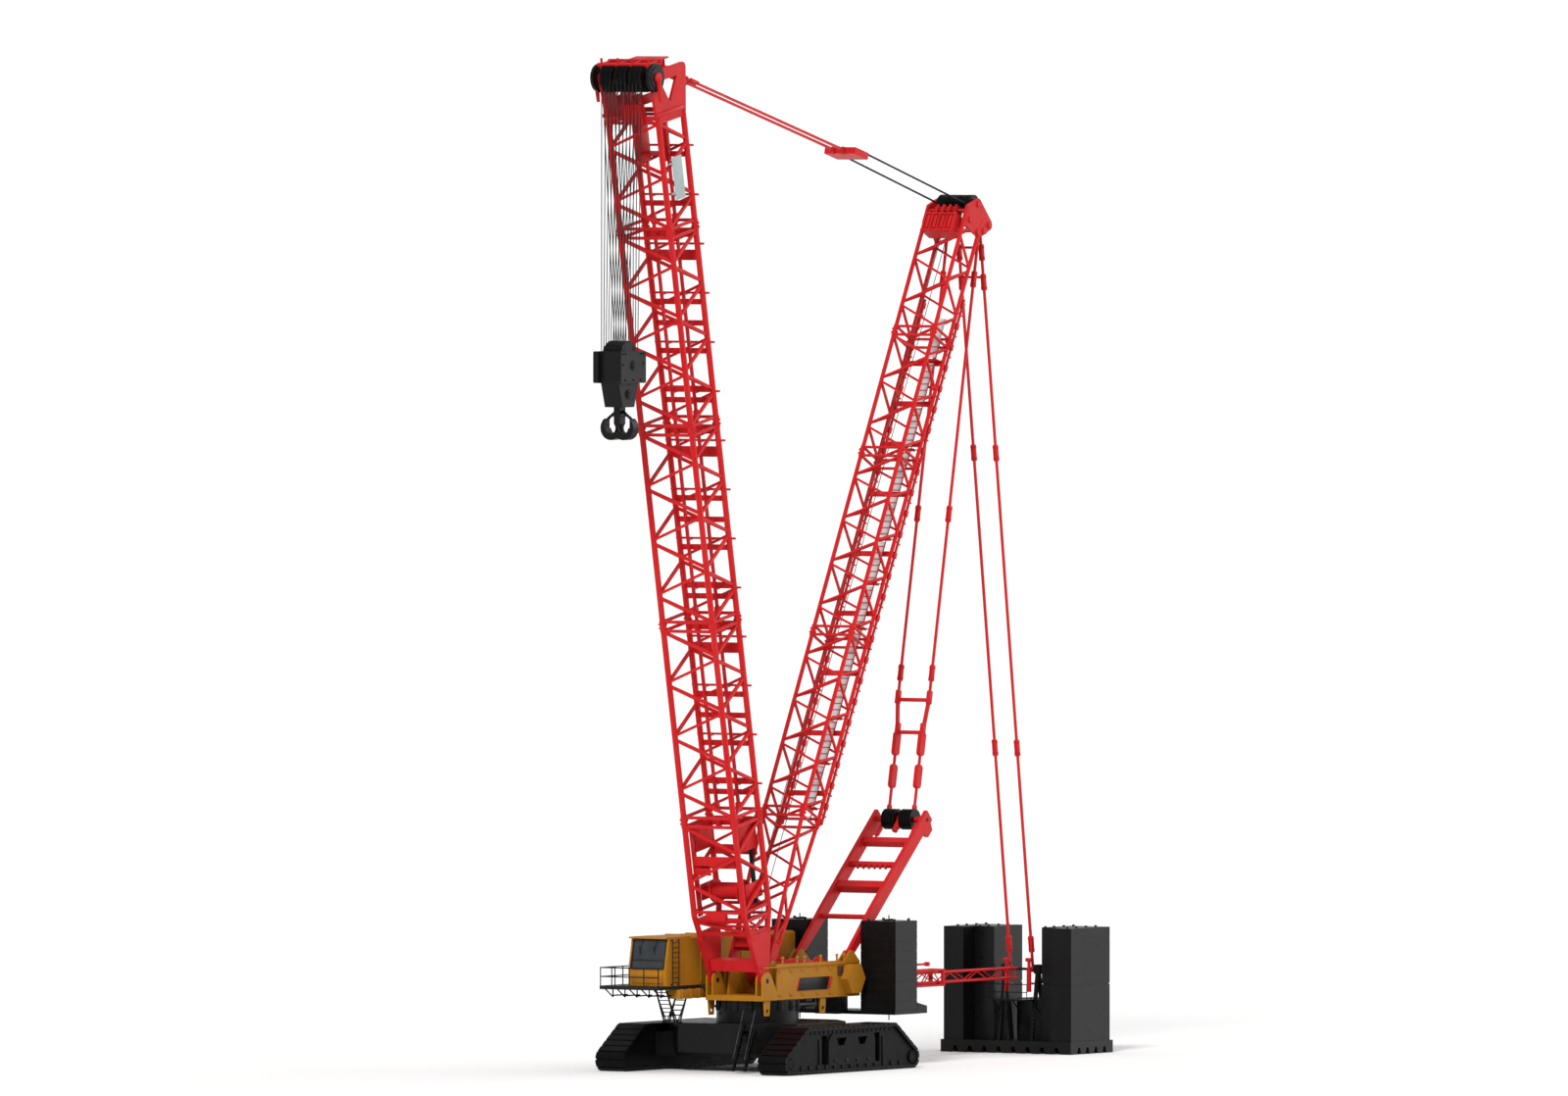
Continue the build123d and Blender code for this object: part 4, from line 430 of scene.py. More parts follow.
MAST_DEPTH, MAST_SIDE, MAST_CHORD = 0.45, 0.7, 0.078
MAST_BUTT, MAST_INSERT, MAST_SHORT_INSERT, MAST_HEAD = 4.95, 6, 4.075, 4.2
MAST_JOINTS = [MAST_BUTT + MAST_INSERT * k for k in range(3)]
MAST_JOINTS.append(MAST_JOINTS[-1] + MAST_SHORT_INSERT)
MAST_LENGTH = MAST_JOINTS[-1] + MAST_HEAD
print("boom", BOOM_LENGTH, "m, mast", MAST_LENGTH, "m")

# %% [markdown]
# The hoist rope hangs in many falls between the sheaves of the boom head and those of the hook block. A
# curve could be threaded through all of them, but it couldn't grow longer. So each fall is a thin straight
# bar from the head's sheaves to the block's, and the bars are left on no body.

# %% Hoist falls
FALLS = 22
ROPE = 0.014
HEAD_ROW, BLOCK_ROW = 1.46, 0.84
HEAD_HALF, BLOCK_HALF = 0.07, 0.4
HEAD_AHEAD = 0.31
HEAD_DROP, BLOCK_DROP = 0.05, 0.42
head_axle = middle("boom_head_sheaves")
block_low, block_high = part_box("hook_block")
block_x = middle("hook_block").x
falls = bmesh.new()
for k in range(FALLS):
    share = k / (FALLS - 1) - 0.5
    side = 1 if k % 2 else -1
    top = Vector((head_axle.x + HEAD_AHEAD + HEAD_HALF * side, share * HEAD_ROW, head_axle.z - HEAD_DROP))
    foot = Vector((block_x + BLOCK_HALF * side, share * BLOCK_ROW, block_high.z - BLOCK_DROP))
    rod(falls, foot, top, ROPE, sides=8)
fall_ropes = piece("hoist_falls_ropes", falls, "rope_steel", None)
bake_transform(fall_ropes)
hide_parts("hoist_ropes")

# %% [markdown]
# The luffing ropes run in two flat bundles from the stay block to the sheaves at the mast head, and
# winding them in raises the boom. They are drawn in the same way: straight bars between the two ends, on
# no body.

# %% Luffing ropes
LUFF_ROPE = 0.016
LUFF_BUNDLE = (0.45, 0.49, 0.53)
luff_low, luff_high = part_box("luffing_ropes")
block_end = Vector((luff_high.x, 0, luff_high.z))
mast_end = Vector((luff_low.x, 0, luff_low.z))
luff = bmesh.new()
for y in LUFF_BUNDLE:
    for side in BOTH_SIDES:
        aside = Vector((0, side * y, 0))
        rod(luff, block_end + aside, mast_end + aside, LUFF_ROPE, sides=8)
luff_ropes = piece("luffing_rope_bundles", luff, "rope_steel", None)
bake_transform(luff_ropes)
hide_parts("luffing_ropes")

# %% [markdown]
# Lattice sections are joined by pins through eyes on their chords, and a pair of pin heads shows at every
# corner of every joint. Bolts could be instanced there, but rods right through the chord give both heads
# at once.

# %% Pins at the section joints
PIN_RADIUS, PIN_PROUD, PIN_UP = 0.032, 0.035, 0.06


def pins(mesh, member, depth, side, chord, joints):
    """Pins through the four chords of a lattice, above and below each joint."""
    reach = chord + PIN_PROUD
    for z in joints:
        for x in (depth, -depth):
            for y in (side, -side):
                for up in (-PIN_UP, PIN_UP):
                    cross_bar(mesh, member, x, (y - reach, y + reach), z + up, PIN_RADIUS)


boom_bits = bmesh.new()
pins(boom_bits, BOOM, BOOM_DEPTH, BOOM_SIDE, BOOM_CHORD, BOOM_JOINTS)
print("boom pins:", len(BOOM_JOINTS) * 8)

# %% [markdown]
# Two flat pendant bars hang inside the boom, with sleeves at the section joints. Thin rungs cross the
# rear face and stick out past the chords, each with a step plate below it. All of them repeat at an even
# spacing, so loops in the boom's own frame place them, and they join the pins in one mesh.

# %% Bars, rungs and steps in the boom
BAR_DEPTH, BAR_SIDE = -0.41, 0.39
BAR_SECTION, BAR_GAP = (0.12, 0.07), 0.2
SLEEVE_SIZE, SLEEVE_UP = (0.18, 0.13, 0.3), 0.25
STEPS, STEP_SPACING, FIRST_STEP = 14, 1.5, 0.9
RUNG_REACH, RUNG_BACK, RUNG_RADIUS = BOOM_SIDE + 0.17, -BOOM_DEPTH - 0.1, 0.034
STEP_WIDTH = 2 * BOOM_SIDE - 0.12
STEP_SIZE, STEP_DROP = (0.03, STEP_WIDTH, 0.17), 0.25
JOINT_SIZE, JOINT_DROP = (0.04, STEP_WIDTH, 0.2), 0.28
bar_length = BOOM_LENGTH - BOOM_BUTT - BAR_GAP
bar_height = (BOOM_LENGTH + BOOM_BUTT) / 2
for y in (BAR_SIDE, -BAR_SIDE):
    plate(boom_bits, BOOM, (BAR_DEPTH, y, bar_height), (*BAR_SECTION, bar_length), edge=0.012)
    for z in BOOM_JOINTS:
        for up in (-SLEEVE_UP, SLEEVE_UP):
            plate(boom_bits, BOOM, (BAR_DEPTH, y, z + up), SLEEVE_SIZE, edge=0.02)
for k in range(STEPS):
    z = BOOM_BUTT + FIRST_STEP + k * STEP_SPACING
    cross_bar(boom_bits, BOOM, RUNG_BACK, (-RUNG_REACH, RUNG_REACH), z, RUNG_RADIUS, sides=8)
    plate(boom_bits, BOOM, (-BOOM_DEPTH, 0, z - STEP_DROP), STEP_SIZE)
    for y in (BAR_SIDE, -BAR_SIDE):
        bar_side, rung_side = Vector((BAR_DEPTH, y, z)), Vector((RUNG_BACK, y, z))
        rod(boom_bits, BOOM @ bar_side, BOOM @ rung_side, THICK_BAR, sides=6)
for z in BOOM_JOINTS:
    plate(boom_bits, BOOM, (-BOOM_DEPTH, 0, z - JOINT_DROP), JOINT_SIZE)
piece("boom_rods_and_pins", boom_bits, "red_paint", "boom")

# %% [markdown]
# Inside the butt stands the winch that reels the hoist rope, and its drum is grooved for the rope. Bump
# could draw the grooves, but their edge shows against the light. So a zigzag line is spun about the
# drum's axis.

# %% Winch drum in the boom butt
WINCH_HEIGHT = 2.76
DRUM_RADIUS, DRUM_WIDTH, DRUM_STEPS = 0.26, 0.9, 28
GROOVES, GROOVE_DEPTH = 14, 0.022
SEAM = 0.0005
winch_centre = BOOM @ Vector((0, 0, WINCH_HEIGHT))
rope_drum = bmesh.new()
zigzag = []
for k in range(2 * GROOVES + 1):
    across = DRUM_WIDTH * (k / (2 * GROOVES) - 0.5)
    height = DRUM_RADIUS - GROOVE_DEPTH * (k % 2)
    zigzag.append(rope_drum.verts.new(winch_centre + Vector((0, across, height))))
profile = zigzag + [rope_drum.edges.new(pair) for pair in zip(zigzag, zigzag[1:])]
bmesh.ops.spin(
    rope_drum, geom=profile, cent=winch_centre, axis=(0, 1, 0), angle=2 * pi, steps=DRUM_STEPS,
    use_merge=True,
)
bmesh.ops.remove_doubles(rope_drum, verts=rope_drum.verts, dist=SEAM)
bmesh.ops.recalc_face_normals(rope_drum, faces=rope_drum.faces)
piece("boom_winch_drum", rope_drum, "red_paint", "boom")

# %% [markdown]
# Round flanges close the drum, an axle carries it, and tall plates stiffen the butt on both sides of it.
# Each plate is listed as a centre and a size in the boom's frame, because no two of them are alike.

# %% Flanges and plates in the boom butt
BUTT_PLATE = BOOM_SIDE - 0.1
FLANGE_SIDE, FLANGE_HALF, FLANGE_RADIUS = 0.48, 0.03, 0.36
AXLE_RADIUS = 0.14
BUTT_SIDE_PLATES = (
    ((-0.12, WINCH_HEIGHT), (0.9, 0.04, 0.5)),
    ((-0.08, 4.42), (1.0, 0.03, 0.84)),
    ((0.5, 3.45), (0.24, 0.03, 2.75)),
)
BUTT_CROSS_PLATES = (
    ((0.58, -0.05, 3.75), (0.04, 1.5, 0.36)),
    ((0.58, -0.5, 3.5), (0.04, 0.6, 0.3)),
    ((-0.6, 0, 3.9), (0.04, 1.5, 0.3)),
    ((0.6, 0, 2.0), (0.1, 1.5, 0.1)),
)
GEAR_BOX_PLACE, GEAR_BOX_SIZE = (0.66, -0.1, 2.1), (0.16, 0.7, 0.27)
winch = bmesh.new()
for side in BOTH_SIDES:
    y = side * FLANGE_SIDE
    cross_bar(winch, BOOM, 0, (y - FLANGE_HALF, y + FLANGE_HALF), WINCH_HEIGHT, FLANGE_RADIUS, sides=28)
    for (x, z), size in BUTT_SIDE_PLATES:
        plate(winch, BOOM, (x, side * BUTT_PLATE, z), size)
cross_bar(winch, BOOM, 0, (-BUTT_PLATE, BUTT_PLATE), WINCH_HEIGHT, AXLE_RADIUS, sides=20)
for centre, size in BUTT_CROSS_PLATES:
    plate(winch, BOOM, centre, size)
plate(winch, BOOM, GEAR_BOX_PLACE, GEAR_BOX_SIZE, edge=0.02)
piece("boom_butt_plates", winch, "red_paint", "boom")

# %% [markdown]
# Two oil pipes go up to the winch, clamped to the plates. They are stiff and straight, so they are plain
# rods and no cords.

# %% Winch pipes
PIPE_RADIUS, PIPE_SIDES = 0.04, (0.56, 0.64)
PIPE_FOOT, PIPE_TOP = (-0.45, 2.3), (-0.5, 4.0)
pipes = bmesh.new()
for y in PIPE_SIDES:
    foot, top = (BOOM @ Vector((x, y, z)) for x, z in (PIPE_FOOT, PIPE_TOP))
    rod(pipes, foot, top, PIPE_RADIUS)
piece("boom_winch_hoses", pipes, "seat_plastic", "boom")

# %% [markdown]
# A bare silver plate hangs on the boom's left side near its top. It could be a patch of colour on the
# lattice, but there is no surface to paint between the chords, so it is a thin plate on two short
# brackets.

# %% Bare plate on the boom
BARE_DEPTH, BARE_HEIGHT = 0.12, 24.6
BARE_SIZE, BARE_OUT = (0.52, 0.02, 1.3), 0.13
BRACKET_SIZE, BRACKET_OUT, BRACKET_UP = (0.6, 0.1, 0.05), 0.06, 0.45
bare = bmesh.new()
plate(bare, BOOM, (BARE_DEPTH, BOOM_SIDE + BARE_OUT, BARE_HEIGHT), BARE_SIZE, edge=0.008)
for up in (-BRACKET_UP, BRACKET_UP):
    plate(bare, BOOM, (BARE_DEPTH, BOOM_SIDE + BRACKET_OUT, BARE_HEIGHT + up), BRACKET_SIZE)
piece("boom_bare_plate", bare, "plate_silver", "boom")

# %% [markdown]
# The mast has the same pins as the boom. On each rear chord a line of pendant rods lies in brackets,
# ready for taking the crane down. Rods and brackets repeat at an even spacing, so a loop places them.

# %% Pins and pendant rods on the mast
PENDANT_BACK, PENDANT_RADIUS, PENDANT_SPAN = -MAST_DEPTH - 0.2, 0.042, (5, 22.6)
HOLDERS, HOLDER_SPACING, FIRST_HOLDER = 25, 0.7, 5.3
HOLDER_SIZE, HOLDER_BACK = (0.3, 0.05, 0.04), -MAST_DEPTH - 0.17
COUPLING_SIZE, COUPLING_UP = (0.13, 0.1, 0.2), 0.3
mast_bits = bmesh.new()
pins(mast_bits, MAST, MAST_DEPTH, MAST_SIDE, MAST_CHORD, MAST_JOINTS)
for side in BOTH_SIDES:
    y = side * MAST_SIDE
    long_bar(mast_bits, MAST, PENDANT_BACK, y, PENDANT_SPAN, PENDANT_RADIUS, sides=8)
    for k in range(HOLDERS):
        z = FIRST_HOLDER + k * HOLDER_SPACING
        plate(mast_bits, MAST, (HOLDER_BACK, y, z), HOLDER_SIZE)
        plate(mast_bits, MAST, (PENDANT_BACK, y, z + COUPLING_UP), COUPLING_SIZE, edge=0.012)
print("pendant holders:", 2 * HOLDERS)

# %% [markdown]
# A ladder runs up inside the mast, held by brackets to one chord, with bright grating between them. Its
# rungs are repeated many times, so each is a rod with only five sides. Ladder and rods are one piece, and
# the grating is another, because it has another finish.

# %% Ladder and walkway in the mast
LADDER_DEPTH, LADDER_SIDES, LADDER_SPAN = -0.3, (0.18, 0.5), (5, 21)
LADDER_MIDDLE = sum(LADDER_SIDES) / 2
LADDER_RUNGS, LADDER_SPACING, FIRST_RUNG = 76, 0.21, 5.1
RESTS, REST_SPACING, FIRST_REST = 11, 1.5, 5.4
REST_DEPTH, REST_SIZE = -0.36, (0.14, 0.5, 0.05)
GRATING_DEPTH, GRATING_SIZE = -0.33, (0.015, 0.26, 1.3)
walk = bmesh.new()
for y in LADDER_SIDES:
    long_bar(mast_bits, MAST, LADDER_DEPTH, y, LADDER_SPAN, THICK_BAR, sides=6)
for k in range(LADDER_RUNGS):
    z = FIRST_RUNG + k * LADDER_SPACING
    cross_bar(mast_bits, MAST, LADDER_DEPTH, LADDER_SIDES, z, THIN_BAR, sides=5)
for k in range(RESTS):
    z = FIRST_REST + k * REST_SPACING
    plate(mast_bits, MAST, (REST_DEPTH, LADDER_MIDDLE, z), REST_SIZE)
    cross_bar(mast_bits, MAST, REST_DEPTH, (LADDER_SIDES[1], MAST_SIDE), z, THICK_BAR, sides=6)
    plate(walk, MAST, (GRATING_DEPTH, LADDER_MIDDLE, z + REST_SPACING / 2), GRATING_SIZE)
piece("mast_rods_and_pins", mast_bits, "red_paint", "upper")
piece("mast_walkway", walk, "grating_grey", "upper")

# %% [markdown]
# Three thin ropes run up inside the mast from its foot to its head and draw a little closer on the way.
# They are taut, so straight rods are true to them.

# %% Ropes inside the mast
INNER_ROPE, INNER_SIDES, INNER_NARROWS = 0.011, (-0.42, -0.3, -0.05), 0.8
INNER_FOOT, INNER_TOP = (0.12, 1.0), (0.05, MAST_LENGTH)
mast_lines = bmesh.new()
for y in INNER_SIDES:
    foot = MAST @ Vector((INNER_FOOT[0], y, INNER_FOOT[1]))
    top = MAST @ Vector((INNER_TOP[0], y * INNER_NARROWS, INNER_TOP[1]))
    rod(mast_lines, foot, top, INNER_ROPE, sides=6)
piece("mast_inner_ropes", mast_lines, "rope_steel", "upper")

# %% [markdown]
# Stays are chains of long bars joined by short link plates, and each joint shows as a thick pair of
# plates with two pins. The bars are CAD nodes, and the links lie on them. The line of each stay is read
# from its node's box, so that a link only needs the height at which it sits.

# %% Lines of the stays
STAY_EYE = 0.095


def stay_line(node, top_in_front):
    """Top and foot of a stay in the middle plane, at the centres of its end eyes."""
    low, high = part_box(node)
    rear, front = low.x + STAY_EYE, high.x - STAY_EYE
    top_x, foot_x = (front, rear) if top_in_front else (rear, front)
    return Vector((top_x, 0, high.z - STAY_EYE)), Vector((foot_x, 0, low.z + STAY_EYE))


def stay_frame(line, z, y):
    """Frame on a stay at a height: its Z runs up the stay and its Y stays level."""
    top, foot = line
    spot = foot.lerp(top, (z - foot.z) / (top.z - foot.z)) + Vector((0, y, 0))
    turn = Vector((0, 0, 1)).rotation_difference(top - foot)
    return Matrix.Translation(spot) @ turn.to_matrix().to_4x4()


mast_stay = stay_line("mast_stay", top_in_front=False)
superlift_stay = stay_line("superlift_pendants", top_in_front=True)
boom_stay = stay_line("boom_pendants", top_in_front=True)
for line in (mast_stay, superlift_stay, boom_stay):
    print("stay of", round((line[0] - line[1]).length, 2), "m")

# %% [markdown]
# Each link is two plates side by side with two pins through them, and a stay has two parallel bars, so
# its links come in pairs. They could be spaced evenly, but the photograph shows them at uneven heights.
# So those are listed, and one function makes all the links of a stay.

# %% Links along the stays
LINK_SIZE, LINK_APART = (0.13, 0.028, 0.5), 0.052
LINK_PIN, LINK_PIN_HALF, LINK_PIN_UP = 0.04, 0.09, 0.17
MAST_STAY_HALF, SUPERLIFT_HALF, BOOM_STAY_HALF = 0.56, 0.4, 0.17
MAST_LINKS = (23.6, 16.5, 11.7)
SUPERLIFT_LINKS = (24.4, 23.5, 18.3, 9.3, 3.3)
BOOM_LINKS = [boom_stay[0].z - drop for drop in (0.14, 0.29, 0.44)]


def stay_links(name, line, heights, half, body):
    """Pairs of link plates with pins on both bars of a stay."""
    made = bmesh.new()
    for z in heights:
        for side in BOTH_SIDES:
            place = stay_frame(line, z, side * half)
            for across in (-LINK_APART, LINK_APART):
                plate(made, place, (0, across, 0), LINK_SIZE, edge=0.008)
            for up in (-LINK_PIN_UP, LINK_PIN_UP):
                cross_bar(made, place, 0, (-LINK_PIN_HALF, LINK_PIN_HALF), up, LINK_PIN, sides=12)
    piece(name, made, "red_paint", body)


stay_links("mast_stay_links", mast_stay, MAST_LINKS, MAST_STAY_HALF, "upper")
stay_links("superlift_links", superlift_stay, SUPERLIFT_LINKS, SUPERLIFT_HALF, "superlift")
stay_links("boom_stay_links", boom_stay, BOOM_LINKS, BOOM_STAY_HALF, "boom_stay")

# %% [markdown]
# Spreader bars keep the two superlift pendants apart near the mast head. Lower down on the mast stay, two
# cross bars end in thick sleeves, where the stay narrows towards the A-frame. Both sit on the same lines
# as the links.

# %% Spreaders and sleeves on the stays
SPREADER_HEIGHTS, SPREADER_RADIUS = (24.55, 23.65), 0.04
STAY_BARS, STAY_BAR_RADIUS = ((3.3, 0.56), (2.3, 0.45)), 0.06
STAY_SLEEVE_SIZE, STAY_SLEEVE_UP = (0.17, 0.14, 0.42), 0.08
spreaders = bmesh.new()
for z in SPREADER_HEIGHTS:
    place = stay_frame(superlift_stay, z, 0)
    cross_bar(spreaders, place, 0, (-SUPERLIFT_HALF, SUPERLIFT_HALF), 0, SPREADER_RADIUS)
piece("superlift_spreaders", spreaders, "red_paint", "superlift")
sleeves = bmesh.new()
stay_foot = stay_frame(mast_stay, mast_stay[1].z, 0)
for distance, half in STAY_BARS:
    cross_bar(sleeves, stay_foot, 0, (-half, half), distance, STAY_BAR_RADIUS, sides=12)
    for y in (half, -half):
        plate(sleeves, stay_foot, (0, y, distance + STAY_SLEEVE_UP), STAY_SLEEVE_SIZE, edge=0.03)
piece("mast_stay_sleeves", sleeves, "red_paint", "upper")

# %% [markdown]
# The left girder carries a blank dark sign with a red stripe at each end, and its short sides lean. A
# leaning outline could be drawn point by point. It is easier to shear a plate, by giving it a matrix that
# moves X with Z.

# %% Girder sign
GIRDER_FACE = 1.022
SIGN_PLACE, SIGN_LEAN = (-1.6, GIRDER_FACE, 2.55), -0.4
SIGN_HEIGHT, SIGN_OUT = 0.38, 0.008
SIGN_MIDDLE, SIGN_WIDTH, SIGN_THICK = 0.09, 1.62, 0.02
STRIPES, STRIPE_THICK = ((-0.82, 0.1), (0.93, 0.03)), 0.022
SHEAR = Matrix(((1, 0, SIGN_LEAN, 0), (0, 1, 0, 0), (0, 0, 1, 0), (0, 0, 0, 1)))
sign_frame = Matrix.Translation(SIGN_PLACE) @ SHEAR
sign = bmesh.new()
plate(sign, sign_frame, (SIGN_MIDDLE, SIGN_OUT, 0), (SIGN_WIDTH, SIGN_THICK, SIGN_HEIGHT), edge=0.005)
piece("girder_blank_sign", sign, "dark_paint", "upper")
stripes = bmesh.new()
for x, width in STRIPES:
    plate(stripes, sign_frame, (x, SIGN_OUT, 0), (width, STRIPE_THICK, SIGN_HEIGHT), edge=0.005)
piece("girder_sign_stripe", stripes, "red_paint", "upper")

# %% [markdown]
# Pads with studs, two long strips and a row of capped posts break up the long flat side of the girder, as
# the weld plates and lifting points of a real one do. They are too small to be solids of their own, so
# they are one mesh.

# %% Girder pads and posts
PADS, PAD_HEIGHTS = (0.35, -0.25, -0.9, -1.7, -2.4), (2.26, 2.98)
PAD_SIZE, PAD_OUT = (0.09, 0.03, 0.09), 0.012
STUD_RADIUS, STUD_LENGTH = 0.02, 0.045
STRIP_MIDDLE, STRIP_HEIGHTS, STRIP_SIZE = -1.35, (3.1, 2.13), (5.2, 0.05, 0.035)
POSTS, POST_SIDE = (0.1, -0.7, -1.1, -2.0, -2.9, -3.3), 0.96
POST_FOOT, POST_TOP, POST_RADIUS = 3.15, 3.36, 0.03
CAP_FOOT, CAP_TOP, CAP_RADIUS = 3.34, 3.4, 0.055
girder = bmesh.new()
for x in PADS:
    for z in PAD_HEIGHTS:
        plate(girder, WORLD, (x, GIRDER_FACE + PAD_OUT, z), PAD_SIZE, edge=0.01)
        cross_bar(girder, WORLD, x, (GIRDER_FACE, GIRDER_FACE + STUD_LENGTH), z, STUD_RADIUS, sides=8)
for z in STRIP_HEIGHTS:
    plate(girder, WORLD, (STRIP_MIDDLE, GIRDER_FACE + 0.01, z), STRIP_SIZE)
for x in POSTS:
    rod(girder, (x, POST_SIDE, POST_FOOT), (x, POST_SIDE, POST_TOP), POST_RADIUS)
    rod(girder, (x, POST_SIDE, CAP_FOOT), (x, POST_SIDE, CAP_TOP), CAP_RADIUS, tip=POST_RADIUS)
piece("girder_pads_and_posts", girder, "yellow_paint", "upper")

# %% [markdown]
# Ballast slabs are lifted by crane, so each stack has lifting eyes on top. A tie rod runs down through
# its middle, and its ends show as thin spikes above and below. Only the ends are made, because the slabs
# hide the rest.

# %% Ballast eyes and tie rods
TIE_ROD, TIE_TOP, TIE_FOOT = 0.018, (-0.05, 0.17), (-0.3, 0.05)
SMALL_EYES, SMALL_EYE, SMALL_EYE_UP = (-0.18, -0.1, 0.1, 0.18), (0.04, 0.09, 0.07), 0.02
CORNER_X, CORNER_Y, CORNER_EYE, CORNER_EYE_UP = 0.4, 0.45, (0.14, 0.03, 0.09), 0.025
ballast = bmesh.new()
for node in ("left_ballast_stack", "right_ballast_stack"):
    low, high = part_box(node)
    x, y = middle(node).xy
    long_bar(ballast, WORLD, x, y, [high.z + up for up in TIE_TOP], TIE_ROD, sides=8)
    long_bar(ballast, WORLD, x, y, [low.z + up for up in TIE_FOOT], TIE_ROD, sides=8)
    for dx in SMALL_EYES:
        plate(ballast, WORLD, (x + dx, y, high.z + SMALL_EYE_UP), SMALL_EYE, edge=0.01)
    for dx in (-CORNER_X, CORNER_X):
        for dy in (-CORNER_Y, CORNER_Y):
            plate(ballast, WORLD, (x + dx, y + dy, high.z + CORNER_EYE_UP), CORNER_EYE, edge=0.012)
piece("ballast_eyes", ballast, "dark_paint", "upper")

# %% [markdown]
# A red rod with an eye sticks out of the back of each counterweight stack. On the superlift stacks the
# lifting eyes stand in two rows. Both take their place from the stacks' own boxes.

# %% Pull rods and superlift eyes
PULL_ROD, PULL_ROD_SIDE, PULL_ROD_REACH, PULL_ROD_IN = 0.035, 2.0, 0.9, 0.04
PULL_EYE, PULL_EYE_HALF = 0.065, 0.07
COLLAR, COLLAR_HALF = 0.08, 0.02
ROW_X, ROW_Y, ROW_EYE, ROW_EYE_UP = (-0.8, -0.25, 0.3, 0.8), (-0.4, 0.4), (0.12, 0.03, 0.07), 0.02
back_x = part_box("left_ballast_stack")[0].x
pull_z = middle("left_ballast_stack").z
eye_x = back_x - PULL_ROD_REACH
rear_rods = bmesh.new()
for y in (PULL_ROD_SIDE, -PULL_ROD_SIDE):
    rod(rear_rods, (back_x + PULL_ROD_IN, y, pull_z), (eye_x, y, pull_z), PULL_ROD)
    cross_bar(rear_rods, WORLD, eye_x, (y - PULL_EYE_HALF, y + PULL_EYE_HALF), pull_z, PULL_EYE, sides=12)
    rod(rear_rods, (back_x - COLLAR_HALF, y, pull_z), (back_x + COLLAR_HALF, y, pull_z), COLLAR, sides=12)
piece("ballast_pull_rods", rear_rods, "red_paint", "upper")
superlift_eyes = bmesh.new()
for node in ("superlift_left_stack", "superlift_right_stack"):
    top_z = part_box(node)[1].z
    x, y = middle(node).xy
    for dx in ROW_X:
        for dy in ROW_Y:
            plate(superlift_eyes, WORLD, (x + dx, y + dy, top_z + ROW_EYE_UP), ROW_EYE, edge=0.01)
piece("superlift_eyes", superlift_eyes, "dark_paint", "superlift")

# %% [markdown]
# Under each pendant a red pull cylinder stands on the trestle of the superlift tray. A spun profile would
# make the barrel, rod and eye in one go, but stepped rods show the same edges and are simpler to read.

# %% Superlift cylinders
CYLINDER_X = -14.55
BARREL_SPAN, BARREL_RADIUS = (1.85, 2.55), 0.075
PISTON_SPAN, PISTON_RADIUS = (2.55, 2.85), 0.05
EYE_HEIGHT, EYE_HALF, EYE_RADIUS = 2.83, 0.1, 0.06
CLAMP_SIZE, CLAMP_HEIGHT, CLAMP_BACK = (0.26, 0.12, 0.06), 2.1, 0.11
cylinders = bmesh.new()
for y in (SUPERLIFT_HALF, -SUPERLIFT_HALF):
    long_bar(cylinders, WORLD, CYLINDER_X, y, BARREL_SPAN, BARREL_RADIUS, sides=16)
    long_bar(cylinders, WORLD, CYLINDER_X, y, PISTON_SPAN, PISTON_RADIUS, sides=12)
    cross_bar(cylinders, WORLD, CYLINDER_X, (y - EYE_HALF, y + EYE_HALF), EYE_HEIGHT, EYE_RADIUS, sides=12)
    plate(cylinders, WORLD, (CYLINDER_X - CLAMP_BACK, y, CLAMP_HEIGHT), CLAMP_SIZE)
piece("pull_cylinders", cylinders, "red_paint", "superlift")

# %% [markdown]
# A small service platform with a rail and a ladder stands beside the cylinders. Its edges follow the
# tray's box, so that the rail stays inside the tray and the ladder's foot stands on it.

# %% Superlift service platform
tray_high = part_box("superlift_tray")[1]
DECK_X, DECK_HEIGHT, DECK_SIZE = tray_high.x - 0.4, 1.62, (0.75, 1.5, 0.04)
RAIL_X, RAIL_HALF, RAIL_HEIGHTS = tray_high.x - 0.07, 0.72, (1.86, 2.1)
BRACE_RADIUS, BRACE_BACK, BRACE_FOOT = 0.02, 0.45, 1.2
FRONT_STILE, REAR_STILE = tray_high.x - 0.25, tray_high.x - 0.5
CLIMB_SIDE, CLIMB_TOP = 0.76, 1.7
CLIMB_RUNGS, CLIMB_FIRST, CLIMB_SPACING = 9, 0.5, 0.13
service = bmesh.new()
plate(service, WORLD, (DECK_X, 0, DECK_HEIGHT), DECK_SIZE)
for y in (-RAIL_HALF, 0, RAIL_HALF):
    brace_top = (DECK_X, y, DECK_HEIGHT - DECK_SIZE[2] / 2)
    long_bar(service, WORLD, RAIL_X, y, (DECK_HEIGHT, RAIL_HEIGHTS[1]), MIDDLE_BAR, sides=6)
    rod(service, brace_top, (DECK_X - BRACE_BACK, y, BRACE_FOOT), BRACE_RADIUS, sides=6)
for z in RAIL_HEIGHTS:
    cross_bar(service, WORLD, RAIL_X, (-RAIL_HALF, RAIL_HALF), z, MIDDLE_BAR, sides=6)
for x in (FRONT_STILE, REAR_STILE):
    long_bar(service, WORLD, x, CLIMB_SIDE, (tray_high.z, CLIMB_TOP), THICK_BAR, sides=6)
for k in range(CLIMB_RUNGS):
    z = CLIMB_FIRST + CLIMB_SPACING * k
    rod(service, (FRONT_STILE, CLIMB_SIDE, z), (REAR_STILE, CLIMB_SIDE, z), THIN_BAR, sides=6)
piece("superlift_service_platform", service, "dark_paint", "superlift")

